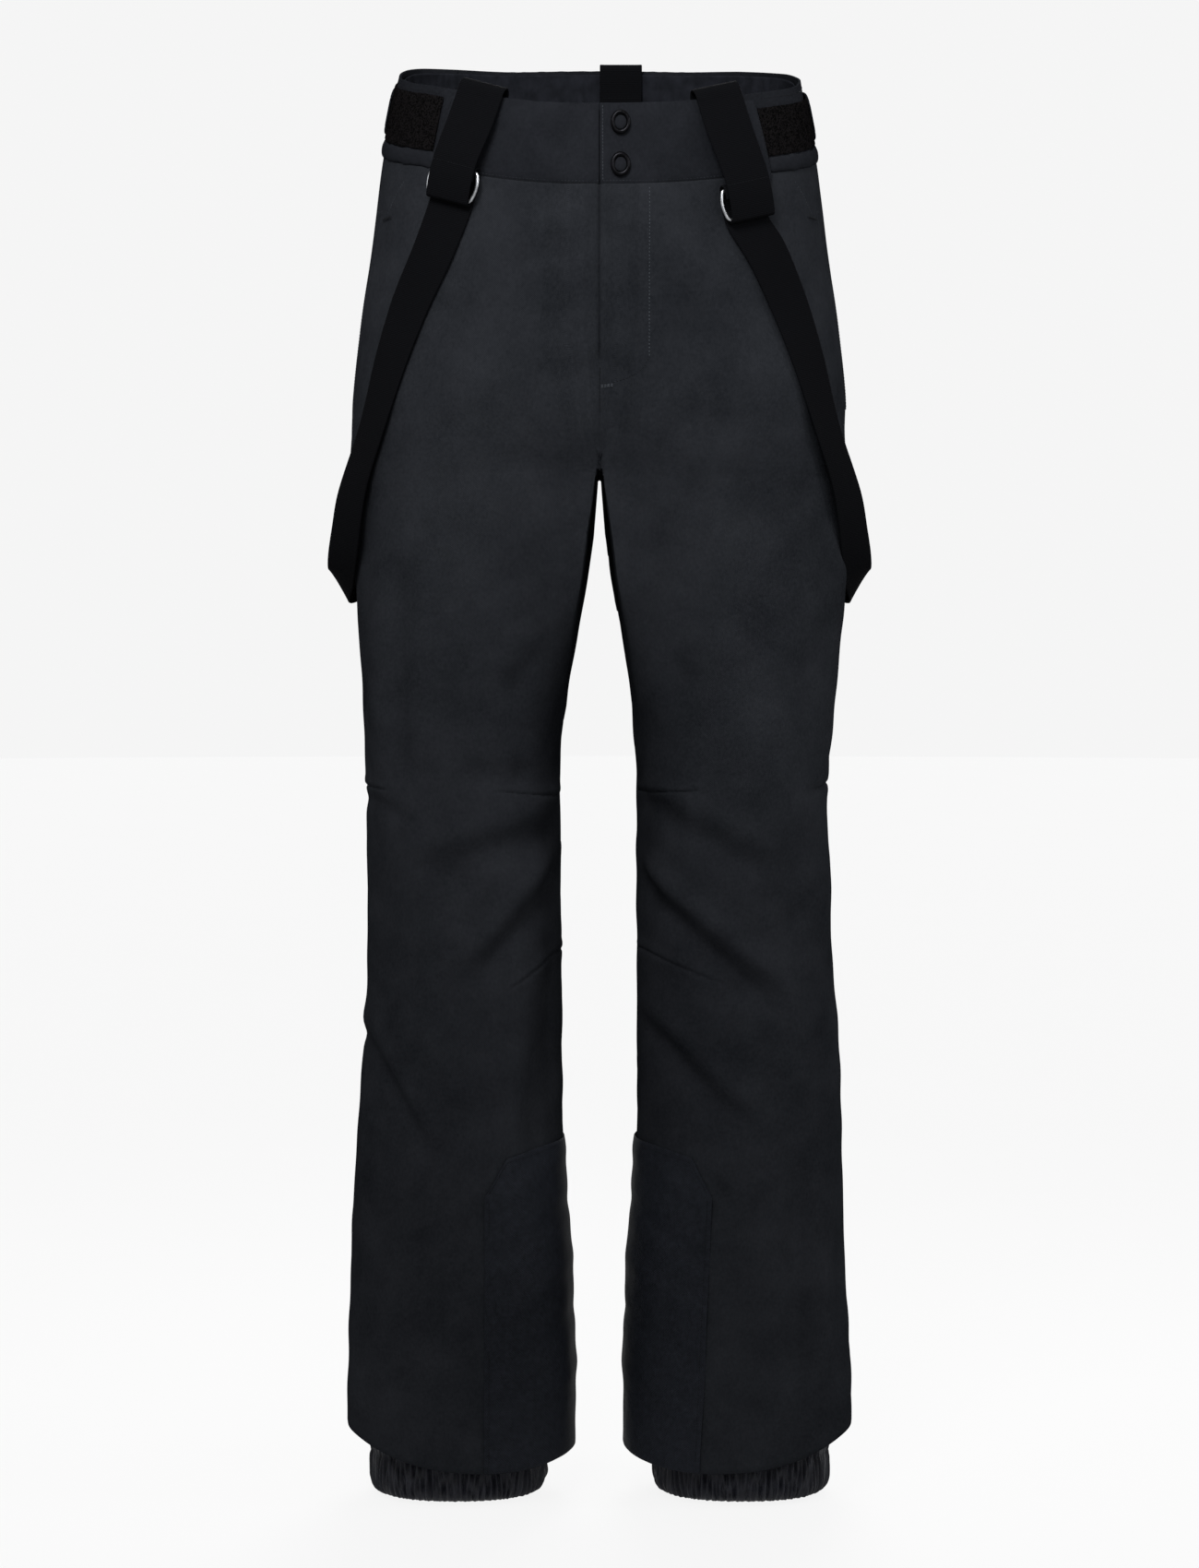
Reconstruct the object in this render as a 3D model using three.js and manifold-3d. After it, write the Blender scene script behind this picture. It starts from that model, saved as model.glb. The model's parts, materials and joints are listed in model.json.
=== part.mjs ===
// Ski pants with clip-on suspenders, shaped as they hang when the waist is held open.
// Millimetres. +Z is up, the front faces -Y and the wearer's right leg is at -X.
// Heights are worked out from the floor side of the gaiters, and the whole group is
// lowered at the end so that its origin is the centre of the waist opening.
import * as THREE from "three";
import { mergeVertices } from "three/addons/utils/BufferGeometryUtils.js";
import Module from "manifold-3d";

const wasm = await Module();
wasm.setup();
const { Vector3, MathUtils } = THREE;
const { lerp, clamp, smoothstep, degToRad } = MathUtils;

// Driving dimensions
const WAIST_HEIGHT = 1120;
const CROTCH_HEIGHT = 809;
const CROTCH_BLEND = 70;
const ROUNDNESS = 2.25;
const CLOTH = 2.5;
const GAP = 0.3;
const SEAM_SHARE = 0.0015;
const BAND_HEIGHT = 60;
const BAND_TILT = 0.236;
const BAND_SIDE_SEAM = degToRad(44);
const HEM = { front: 32, side: 18, outward: 10 };
const FLY = { bottom: 882, width: 40, zip: 14, length: 140 };
const SNAP = { x: 16, heights: { upper: 1079, lower: 1046 }, radius: 8 };
const WEBBING = { width: 38, thickness: 1.5 };
const RING = { wire: 1.5, height: 22, halfWidth: 21.5, bulge: 2.5, standoff: 7, play: 1.5 };
const HANGER = { rimX: 90, foldX: 112, foldHeight: { right: 1019, left: 1005 } };
const BACK_TAB_X = 12;
const KICK_PATCH = { top: 282, chamfer: 34, frontAngle: degToRad(103), backReach: 0.72 };
const GAITER = { bottom: 15, top: 150, centre: 113.5, halfWidth: 69.5, halfDepth: 62 };
const SIDES = { right: -1, left: 1 };

// Half-widths and depths of the garment by height, as [height, value] stations
const outerWidth = profile([
  [10, 203], [80, 201], [170, 197], [280, 193], [385, 187.5], [450, 184], [560, 182.5],
  [650, 187], [715, 191.5], [800, 195.5], [867, 195], [933, 189], [1000, 179.5],
  [1060, 171.5], [1130, 158], [1160, 152],
]);
const inseam = profile([
  [10, 20.5], [123, 21], [232, 26], [310, 30.5], [560, 31], [626, 28], [692, 19],
  [736, 11.5], [780, 5], [CROTCH_HEIGHT, 0],
]);
const frontDepth = profile([
  [10, -70], [120, -73], [300, -80], [450, -88], [620, -97], [800, -109], [880, -116.5],
  [960, -115], [1034, -113], [1094, -110.5], [1160, -107],
]);
const backDepth = profile([
  [10, 76], [120, 77], [300, 78], [450, 79], [620, 95], [800, 117], [900, 134],
  [960, 136], [1034, 128], [1094, 119], [1160, 112],
]);

// Materials
const cloth = (color, roughness) =>
  new THREE.MeshStandardMaterial({ color, roughness, metalness: 0 });
const metal = (color, roughness) =>
  new THREE.MeshStandardMaterial({ color, roughness, metalness: 1 });
const SHELL = cloth(0x26282b, 0.82);
const LINING = cloth(0x252529, 0.7);
const REINFORCED = cloth(0x17181c, 0.9);
const STRAP = cloth(0x141417, 0.95);
const LOOP = cloth(0x110f10, 1);
const ELASTIC = cloth(0x1c1d20, 0.9);
const SNAP_BLACK = metal(0x17181a, 0.3);
const STEEL = metal(0xb8bbc0, 0.28);

const pants = new THREE.Group();

// ---- Shape helpers ----

// A smooth curve through stations that never overshoots them
function profile(stations) {
  const last = stations.length - 1;
  const rise = (i) =>
    (stations[i + 1][1] - stations[i][1]) / (stations[i + 1][0] - stations[i][0]);
  const slopes = stations.map((_, i) => {
    if (i === 0) return rise(0);
    if (i === last) return rise(last - 1);
    const before = rise(i - 1);
    const after = rise(i);
    return before * after > 0 ? (2 * before * after) / (before + after) : 0;
  });
  return (height) => {
    const h = clamp(height, stations[0][0], stations[last][0]);
    const i = Math.min(last - 1, Math.max(0, stations.findIndex((s) => s[0] > h) - 1));
    const at = h >= stations[last][0] ? last - 1 : i;
    const [z0, v0] = stations[at];
    const [z1, v1] = stations[at + 1];
    const span = z1 - z0;
    const t = (h - z0) / span;
    const s = 1 - t;
    return (
      v0 * s * s * (1 + 2 * t) +
      v1 * t * t * (3 - 2 * t) +
      span * (slopes[at] * s * s * t - slopes[at + 1] * t * t * s)
    );
  };
}

// The oval of one half of the garment at a height. Above the crotch it is cut by the
// centre plane, at the angle `reach` from the side seam.
function section(z) {
  const outer = outerWidth(z);
  const rise = clamp((z - CROTCH_HEIGHT) / CROTCH_BLEND, 0, 1);
  const merge = (1 - rise) ** 1.5;
  const a = z < CROTCH_HEIGHT ? (outer - inseam(z)) / 2 : outer / (1 + merge);
  const front = frontDepth(z);
  const back = backDepth(z);
  const overlap = Math.min(1, (outer - a) / a) ** (ROUNDNESS / 2);
  return {
    cx: outer - a,
    cy: (front + back) / 2,
    a,
    b: (back - front) / 2,
    reach: Math.acos(-overlap),
  };
}

const soften = (v) => Math.sign(v) * Math.abs(v) ** (2 / ROUNDNESS);

function bare(side, angle, z) {
  const s = section(z);
  const x = s.cx + s.a * soften(Math.cos(angle));
  return new Vector3(side * x, s.cy + s.b * soften(Math.sin(angle)), z);
}

// Outward direction of the cloth. Angle 0 is the side seam, negative angles are in front.
function outward(side, angle, z) {
  const along = bare(side, angle + 0.02, z).sub(bare(side, angle - 0.02, z));
  const up = bare(side, angle, z + 1).sub(bare(side, angle, z - 1));
  return along.cross(up).multiplyScalar(side).normalize();
}

const skin = (side, angle, z, offset) =>
  bare(side, angle, z).addScaledVector(outward(side, angle, z), offset);

// The angle at which the oval passes a distance x from the centre plane
function angleAt(facing, x, z) {
  const s = section(z);
  const share = clamp((x - s.cx) / s.a, -1, 1);
  return facing * Math.acos(Math.sign(share) * Math.abs(share) ** (ROUNDNESS / 2));
}

const skinAt = (side, facing, x, z, offset) =>
  skin(side, angleAt(facing, x, z), z, offset);

// Height of the seam under the waistband, which lies in a plane that rises to the back
function bandSeam(angle) {
  const middle = WAIST_HEIGHT - BAND_HEIGHT / 2;
  return WAIST_HEIGHT - BAND_HEIGHT + BAND_TILT * bare(1, angle, middle).y;
}

const onBand = (side, angle, height, offset) =>
  skin(side, angle, bandSeam(angle) + height, offset);

function signedVolume(positions, index) {
  const corner = (k) => new Vector3().fromArray(positions, 3 * index[k]);
  let sum = 0;
  for (let k = 0; k < index.length; k += 3)
    sum += corner(k).dot(corner(k + 1).cross(corner(k + 2)));
  return sum / 6;
}

// A closed sheet between two layers of points. point(s, t, layer) gives layer 0 and 1.
function sheet(columns, rows, point, closed = false) {
  const across = closed ? columns : columns + 1;
  const positions = [];
  for (const layer of [0, 1])
    for (let j = 0; j <= rows; j++)
      for (let i = 0; i < across; i++)
        positions.push(...point(i / columns, j / rows, layer).toArray());
  const id = (i, j, layer) => (layer * (rows + 1) + j) * across + (i % across);
  const index = [];
  const quad = (a, b, c, d) => index.push(a, b, c, a, c, d);
  for (let j = 0; j < rows; j++)
    for (let i = 0; i < columns; i++) {
      quad(id(i, j, 0), id(i + 1, j, 0), id(i + 1, j + 1, 0), id(i, j + 1, 0));
      quad(id(i, j, 1), id(i, j + 1, 1), id(i + 1, j + 1, 1), id(i + 1, j, 1));
    }
  for (let i = 0; i < columns; i++) {
    quad(id(i, 0, 0), id(i, 0, 1), id(i + 1, 0, 1), id(i + 1, 0, 0));
    quad(id(i, rows, 0), id(i + 1, rows, 0), id(i + 1, rows, 1), id(i, rows, 1));
  }
  for (let j = 0; j < rows && !closed; j++) {
    quad(id(0, j, 0), id(0, j + 1, 0), id(0, j + 1, 1), id(0, j, 1));
    quad(id(columns, j, 0), id(columns, j, 1), id(columns, j + 1, 1), id(columns, j + 1, 0));
  }
  if (signedVolume(positions, index) < 0)
    for (let k = 0; k < index.length; k += 3)
      [index[k], index[k + 1]] = [index[k + 1], index[k]];
  const geometry = new THREE.BufferGeometry();
  geometry.setAttribute("position", new THREE.Float32BufferAttribute(positions, 3));
  geometry.setIndex(index);
  geometry.computeVertexNormals();
  return geometry;
}

// A flat strap between two edges, each a list of points
function ribbon(leftEdge, rightEdge, thickness, steps) {
  const left = new THREE.CatmullRomCurve3(leftEdge, false, "centripetal");
  const right = new THREE.CatmullRomCurve3(rightEdge, false, "centripetal");
  return sheet(1, steps, (s, t, layer) => {
    const a = left.getPoint(t);
    const b = right.getPoint(t);
    const along = left.getTangent(t).add(right.getTangent(t));
    const normal = along.cross(b.clone().sub(a)).normalize();
    return a.lerp(b, s).addScaledVector(normal, thickness * (layer - 0.5));
  });
}

// A round wire bent into a closed loop of points that lies flat across `flat`
function loopWire(points, flat, radius, steps, sides) {
  const path = new THREE.CatmullRomCurve3(points, true, "centripetal");
  const positions = [];
  const index = [];
  for (let j = 0; j < steps; j++) {
    const at = path.getPoint(j / steps);
    const out = path.getTangent(j / steps).cross(flat).normalize();
    for (let i = 0; i < sides; i++) {
      const turn = (i / sides) * 2 * Math.PI;
      const p = at.clone().addScaledVector(out, radius * Math.cos(turn));
      positions.push(...p.addScaledVector(flat, radius * Math.sin(turn)).toArray());
    }
  }
  const id = (i, j) => (j % steps) * sides + (i % sides);
  for (let j = 0; j < steps; j++)
    for (let i = 0; i < sides; i++)
      index.push(
        id(i, j), id(i + 1, j), id(i + 1, j + 1),
        id(i, j), id(i + 1, j + 1), id(i, j + 1),
      );
  if (signedVolume(positions, index) < 0) index.reverse();
  const geometry = new THREE.BufferGeometry();
  geometry.setAttribute("position", new THREE.Float32BufferAttribute(positions, 3));
  geometry.setIndex(index);
  geometry.computeVertexNormals();
  return geometry;
}

function solidOf(geometry) {
  const bareGeometry = geometry.clone();
  for (const name of ["normal", "uv"]) bareGeometry.deleteAttribute(name);
  const merged = mergeVertices(bareGeometry, 1e-4);
  return new wasm.Manifold(
    new wasm.Mesh({
      numProp: 3,
      vertProperties: new Float32Array(merged.attributes.position.array),
      triVerts: new Uint32Array(merged.index.array),
    }),
  );
}

function geometryOf(solid) {
  const mesh = solid.getMesh();
  const geometry = new THREE.BufferGeometry();
  geometry.setAttribute(
    "position",
    new THREE.Float32BufferAttribute(new Float32Array(mesh.vertProperties), 3),
  );
  geometry.setIndex([...mesh.triVerts]);
  geometry.computeVertexNormals();
  return geometry;
}

function box(low, high) {
  const size = high.map((v, k) => v - low[k]);
  const geometry = new THREE.BoxGeometry(...size);
  return geometry.translate(...high.map((v, k) => (v + low[k]) / 2));
}

function add(name, geometry, material, parent = pants) {
  const mesh = new THREE.Mesh(geometry, material);
  mesh.name = name;
  parent.add(mesh);
  return mesh;
}

// A group whose own +Z points along `out` at a place on the garment
function groupFacing(place, out) {
  const group = new THREE.Group();
  group.position.copy(place);
  group.quaternion.setFromUnitVectors(new Vector3(0, 0, 1), out);
  pants.add(group);
  return group;
}

// ---- Legs and seat ----

function hem(angle) {
  const c = Math.cos(angle);
  return HEM.front + HEM.side * c * c + HEM.outward * c;
}

function panelRows() {
  const rows = [];
  for (let i = 0; i < 9; i++) rows.push((0.68 * i) / 9);
  for (let i = 0; i < 8; i++) rows.push(0.68 + (0.18 * i) / 8);
  for (let i = 0; i <= 4; i++) rows.push(0.86 + (0.14 * i) / 4);
  return rows;
}

// One leg's front or back, from the side seam to the inseam and the centre seam
function panel(side, facing) {
  const rows = panelRows();
  return sheet(10, rows.length - 1, (s, t, layer) => {
    const u = lerp(SEAM_SHARE, 1 - SEAM_SHARE, s);
    const low = hem(u * Math.PI);
    const high = bandSeam((facing * u * Math.PI) / 2) - GAP;
    const z = lerp(low, high, rows[Math.round(t * (rows.length - 1))]);
    const p = skin(side, facing * u * section(z).reach, z, -CLOTH * layer);
    p.x += side * GAP;
    return p;
  });
}

function panels() {
  const opening = solidOf(box([-20, -200, FLY.bottom], [FLY.width + 0.5, -60, 1100]));
  for (const [name, side] of Object.entries(SIDES)) {
    const front = solidOf(panel(side, -1));
    const cut = side > 0 ? front.subtract(opening) : front;
    add(`front_panel_${name}`, geometryOf(cut), SHELL);
    add(`back_panel_${name}`, panel(side, 1), SHELL);
  }
}

// Tough patch over the inner ankle, with a chamfered upper front corner
function kickPatch(side) {
  const from = -KICK_PATCH.frontAngle;
  const to = -Math.PI * (2 - KICK_PATCH.backReach);
  return sheet(14, 6, (s, t, layer) => {
    const angle = lerp(from, to, s);
    const corner = Math.max(0, 1 - s / 0.17);
    const top = KICK_PATCH.top - KICK_PATCH.chamfer * corner;
    const z = lerp(hem(angle) + 1, top, t);
    return skin(side, angle, z, 3 - 1.6 * layer);
  });
}

function gaiterPoint(side, turn, z, inset) {
  const share = smoothstep(z, 45, GAITER.top);
  const angle = turn * 2 * Math.PI;
  const cuff = new Vector3(
    side * (GAITER.centre + (GAITER.halfWidth - inset) * soften(Math.cos(angle))),
    2 + (GAITER.halfDepth - inset) * soften(Math.sin(angle)),
    z,
  );
  return cuff.lerp(skin(side, angle, z, -CLOTH - 2 - inset), share);
}

function gaiters() {
  for (const [name, side] of Object.entries(SIDES)) {
    const sleeve = sheet(
      20, 4,
      (s, t, layer) => gaiterPoint(side, s, lerp(GAITER.bottom, GAITER.top, t), 1.5 * layer),
      true,
    );
    const band = sheet(
      20, 1,
      (s, t, layer) => gaiterPoint(side, s, GAITER.bottom + 2 + 10 * t, 2 + 1.2 * layer),
      true,
    );
    add(`gaiter_${name}`, sleeve, LINING);
    add(`gaiter_elastic_${name}`, band, ELASTIC);
    add(`kick_patch_${name}`, kickPatch(side), REINFORCED);
  }
}

// ---- Waistband ----

function bandPiece(side, from, to, low, high, outer, inner, columns) {
  return sheet(columns, 2, (s, t, layer) =>
    onBand(side, lerp(from, to, s), lerp(low, high, t), layer ? inner : outer),
  );
}

const bandFront = (x) => angleAt(-1, x, WAIST_HEIGHT - BAND_HEIGHT);

function waistband() {
  const seam = 0.004;
  const starts = { right: GAP, left: FLY.width + 0.5 };
  for (const [name, side] of Object.entries(SIDES)) {
    const front = bandPiece(
      side, bandFront(starts[name]), -BAND_SIDE_SEAM - seam, 0, BAND_HEIGHT, 0, -2, 6,
    );
    const flank = bandPiece(
      side, -BAND_SIDE_SEAM + seam, BAND_SIDE_SEAM - seam, 0, BAND_HEIGHT, 0, -2, 8,
    );
    add(`waistband_front_${name}`, front, SHELL);
    add(`waistband_side_${name}`, flank, SHELL);
  }
  const back = [BAND_SIDE_SEAM + seam, Math.PI - BAND_SIDE_SEAM - seam];
  add("waistband_back", bandPiece(1, ...back, 0, BAND_HEIGHT, 0, -1.6, 12), SHELL);
  add("waist_elastic", bandPiece(1, ...back, 8, 52, -2, -3.6, 12), ELASTIC);
  add("waistband_back_facing", bandPiece(1, ...back, 2, 58, -4, -5.4, 12), LINING);
}

// Inner end of the waistband that the overlapping end snaps on to
function underlap() {
  return sheet(6, 2, (s, t, layer) => {
    const x = lerp(-24, 36, s);
    const depth = lerp(3, 7.2, smoothstep(x, -20, -4));
    const angle = angleAt(-1, Math.abs(x), WAIST_HEIGHT - BAND_HEIGHT);
    const p = onBand(1, angle, lerp(2, 58, t), -depth - 1.6 * layer);
    p.x *= Math.sign(x);
    return p;
  });
}

// Hook-and-loop waist adjusters: a loop patch at each side and a tab sewn on behind it
function adjusters() {
  const patch = [degToRad(-41), degToRad(28)];
  const hook = [degToRad(5), degToRad(26)];
  const tab = [degToRad(3), degToRad(46)];
  for (const [name, side] of Object.entries(SIDES)) {
    const piece = (range, low, high, outer, inner, columns) =>
      bandPiece(side, ...range, low, high, outer, inner, columns);
    add(`loop_patch_${name}`, piece(patch, 8, 54, 1.9, 0.9, 10), LOOP);
    add(`hook_tape_${name}`, piece(hook, 16, 46, 3.1, 2.4, 4), LOOP);
    add(`adjuster_tab_${name}`, piece(tab, 12, 50, 5.2, 3.7, 6), SHELL);
  }
}

function beltLoops() {
  const places = { front: [-1, 118, 131], back: [1, 70, 70] };
  const widthStep = 5;
  for (const [name, side] of Object.entries(SIDES))
    for (const [where, [facing, topX, lowX]] of Object.entries(places)) {
      const loop = sheet(1, 8, (s, t, layer) => {
        const x = lerp(lowX, topX, t) + widthStep * (2 * s - 1);
        const arch = 2 + 2 * Math.sin(Math.PI * t) ** 0.5;
        const angle = angleAt(facing, x, WAIST_HEIGHT - BAND_HEIGHT);
        return onBand(side, angle, lerp(-6, 57, t), arch + 1.1 * (1 - layer));
      });
      add(`belt_loop_${where}_${name}`, loop, SHELL);
    }
}

// ---- Fly ----

function flyFlap() {
  const flap = sheet(4, 8, (s, t, layer) => {
    const x = lerp(GAP, FLY.width - 0.5, s);
    const high = bandSeam(bandFront(x)) - GAP;
    return skinAt(1, -1, x, lerp(FLY.bottom + 0.4, high, t), -CLOTH * layer);
  });
  const tab = bandPiece(
    1, bandFront(GAP), bandFront(FLY.width - 0.5), 0.3, BAND_HEIGHT, 0, -2, 4,
  );
  add("fly_flap", flap, SHELL);
  add("waistband_overlap_tab", tab, SHELL);
}

// Wind guard behind the zip, sewn to the wearer's right front
function flyGuard() {
  return sheet(6, 6, (s, t, layer) => {
    const x = lerp(-26, 37, s);
    const depth = lerp(3.2, 13, smoothstep(x, -24, -6)) + 1.6 * layer;
    const high = bandSeam(bandFront(Math.abs(x))) - 2;
    const p = skinAt(1, -1, Math.abs(x), lerp(FLY.bottom + 2, high, t), -depth);
    p.x *= Math.sign(x);
    return p;
  });
}

// A prism whose outline is in the zip's own X (across) and Y (into the garment)
function prism(outline, low, high) {
  const shape = new THREE.Shape(outline.map(([x, y]) => new THREE.Vector2(x, y)));
  const geometry = new THREE.ExtrudeGeometry(shape, {
    depth: high - low,
    bevelEnabled: false,
  });
  return geometry.translate(0, 0, low);
}

function sliderBody(top) {
  const outline = [
    [-4.5, 6.4], [4.5, 6.4], [4.5, 7.4], [0.6, 7.4], [0.6, 9.9], [4.5, 9.9], [4.5, 10.8],
    [-4.5, 10.8], [-4.5, 9.9], [-0.6, 9.9], [-0.6, 7.4], [-4.5, 7.4],
  ];
  const post = new THREE.CylinderGeometry(0.9, 0.9, 1.8, 12).translate(0, 5.7, top - 2.5);
  return geometryOf(solidOf(prism(outline, top - 11, top)).add(solidOf(post)));
}

function sliderPull(top) {
  const outline = new THREE.Shape();
  outline.absarc(0, 0, 3, 0, Math.PI);
  outline.lineTo(-2.4, -14);
  outline.absarc(0, -14, 2.4, Math.PI, 2 * Math.PI);
  outline.closePath();
  outline.holes.push(new THREE.Path().absarc(0, 0, 1.4, 0, 2 * Math.PI, true));
  const plate = new THREE.ExtrudeGeometry(outline, {
    depth: 0.8,
    bevelEnabled: false,
    curveSegments: 6,
  });
  return plate.rotateX(Math.PI / 2).translate(0, 6, top - 2.5);
}

// Zip tapes, slider and stop, in one flat plane behind the flap
function zip() {
  const low = skinAt(1, -1, FLY.zip, FLY.bottom + 4, 0);
  const high = skinAt(1, -1, FLY.zip, FLY.bottom + 4 + FLY.length, 0);
  const up = high.clone().sub(low).normalize();
  const right = new Vector3(1, 0, 0);
  const inward = up.clone().cross(right).normalize();
  const group = new THREE.Group();
  group.position.copy(low);
  group.quaternion.setFromRotationMatrix(new THREE.Matrix4().makeBasis(right, inward, up));
  pants.add(group);
  const tape = [
    [1.2, 7.8], [3.4, 7.8], [3.4, 8.1], [20, 8.1], [20, 9.2], [3.4, 9.2], [3.4, 9.5],
    [1.2, 9.5],
  ];
  const top = FLY.length - 3;
  const mirrored = tape.map(([x, y]) => [-x, y]).reverse();
  add("zip_tape_left", prism(tape, 4, FLY.length), ELASTIC, group);
  add("zip_tape_right", prism(mirrored, 4, FLY.length), ELASTIC, group);
  add("zip_slider", sliderBody(top), SNAP_BLACK, group);
  add("zip_pull", sliderPull(top), SNAP_BLACK, group);
  add("zip_bottom_stop", box([-4, 7.6, 0.5], [4, 9.6, 3.5]), SNAP_BLACK, group);
}

// Ring-topped snap caps, their sockets, and the studs on the inner end of the band
function snaps() {
  const outline = {
    cap: [[0, 0.9], [8, 0.9], [8, 2], [7, 3], [5, 3], [4.4, 2.1], [0, 2.1]],
    socket: [[2.6, -4.7], [6.4, -4.7], [6.4, -3.1], [2.6, -3.1], [2.6, -4.7]],
    stud: [[0, -6.6], [6, -6.6], [6, -5.9], [2, -5.9], [2, -4.1], [0, -4.1]],
  };
  for (const [name, z] of Object.entries(SNAP.heights)) {
    const angle = angleAt(-1, SNAP.x, z);
    const group = groupFacing(bare(1, angle, z), outward(1, angle, z));
    for (const [piece, points] of Object.entries(outline)) {
      const lathe = new THREE.LatheGeometry(
        points.map(([r, h]) => new THREE.Vector2(r, h)), 14,
      );
      const material = piece === "cap" ? SNAP_BLACK : STEEL;
      add(`snap_${piece}_${name}`, lathe.rotateX(Math.PI / 2), material, group);
    }
  }
}

// ---- Pockets ----

function pockets() {
  for (const [name, side] of Object.entries(SIDES)) {
    const welt = sheet(1, 6, (s, t, layer) => {
      const z = lerp(868, 1026, t);
      const angle = lerp(degToRad(-9), degToRad(-22), t) - s * 0.07;
      return skin(side, angle, z, 2.4 - 1.4 * layer);
    });
    const bag = sheet(4, 6, (s, t, layer) => {
      const z = lerp(800, 1018, t);
      const angle = lerp(degToRad(-12), degToRad(-52), s);
      return skin(side, angle, z, -CLOTH - 1.8 - 2 * layer);
    });
    add(`pocket_welt_${name}`, welt, SHELL);
    add(`pocket_bag_${name}`, bag, LINING);
  }
}

// ---- Suspenders ----

// A flat frame on the garment: `down` along the webbing, `out` away from the cloth
function flatFrame(place, down, out) {
  const level = down.clone().addScaledVector(out, -down.dot(out)).normalize();
  return { place, down: level, out, across: level.clone().cross(out).normalize() };
}

const frameEdge = (frame, width, down, out) =>
  frame.place
    .clone()
    .addScaledVector(frame.across, width)
    .addScaledVector(frame.down, down)
    .addScaledVector(frame.out, out);

// Both edges of a strap that runs through [frame, down, out] stops
function strapEdges(stops, width) {
  return [-width / 2, width / 2].map((half) =>
    stops.map(([frame, down, out]) => frameEdge(frame, half, down, out)),
  );
}

// The wire ring round two straps. Its first bar is at `down` 0, its second `height` further.
function ringWire(frame, height) {
  const { halfWidth, bulge, standoff } = RING;
  const half = halfWidth - bulge;
  const points = [
    [-half, 0], [-half / 3, 0], [half / 3, 0], [half, 0], [halfWidth, height * 0.2],
    [halfWidth + 1, height * 0.5], [halfWidth, height * 0.8], [half, height],
    [half / 3, height], [-half / 3, height], [-half, height], [-halfWidth, height * 0.8],
    [-halfWidth - 1, height * 0.5], [-halfWidth, height * 0.2],
  ].map(([x, y]) => frameEdge(frame, x, y, standoff));
  return loopWire(points, frame.out, RING.wire, 36, 6);
}

// Stops that carry a strap half round a ring bar, from its outer side to its inner side
function wrap(frame, down, turn, radius) {
  return [0, 45, 90, 135, 180].map((degrees) => {
    const angle = degToRad(degrees);
    const reach = radius * Math.sin(angle) * turn;
    return [frame, down + reach, RING.standoff + radius * Math.cos(angle)];
  });
}

const SNUG = RING.wire + 0.7 + WEBBING.thickness / 2;
const LOOSE = RING.wire + RING.play + WEBBING.thickness / 2;

function hangerFrames(side, name) {
  const rimZ = bandSeam(bandFront(HANGER.rimX)) + BAND_HEIGHT;
  const foldZ = HANGER.foldHeight[name];
  const rimAngle = angleAt(-1, HANGER.rimX, rimZ);
  const foldAngle = angleAt(-1, HANGER.foldX, foldZ);
  const rimPlace = bare(side, rimAngle, rimZ);
  const foldPlace = bare(side, foldAngle, foldZ);
  const down = foldPlace.clone().sub(rimPlace).normalize();
  return {
    rim: flatFrame(rimPlace, down, outward(side, rimAngle, rimZ)),
    fold: flatFrame(foldPlace, down, outward(side, foldAngle, foldZ)),
  };
}

// Short webbing sewn inside the band, over the rim and down to the ring
function frontWebbing(frames) {
  const { rim, fold } = frames;
  const stops = [
    [rim, 42, -8], [rim, 24, -8], [rim, 6, -8], [rim, -5, -6.5], [rim, -9, -2],
    [rim, -6, 3], [rim, 5, 4.6], [rim, 22, 7], [fold, -32, 12], [fold, -24, 12.8],
    [fold, -14, 12.6], ...wrap(fold, 0, 1, SNUG), [fold, -6, RING.standoff - SNUG],
  ];
  return ribbon(...strapEdges(stops, WEBBING.width), WEBBING.thickness, 36);
}

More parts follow.
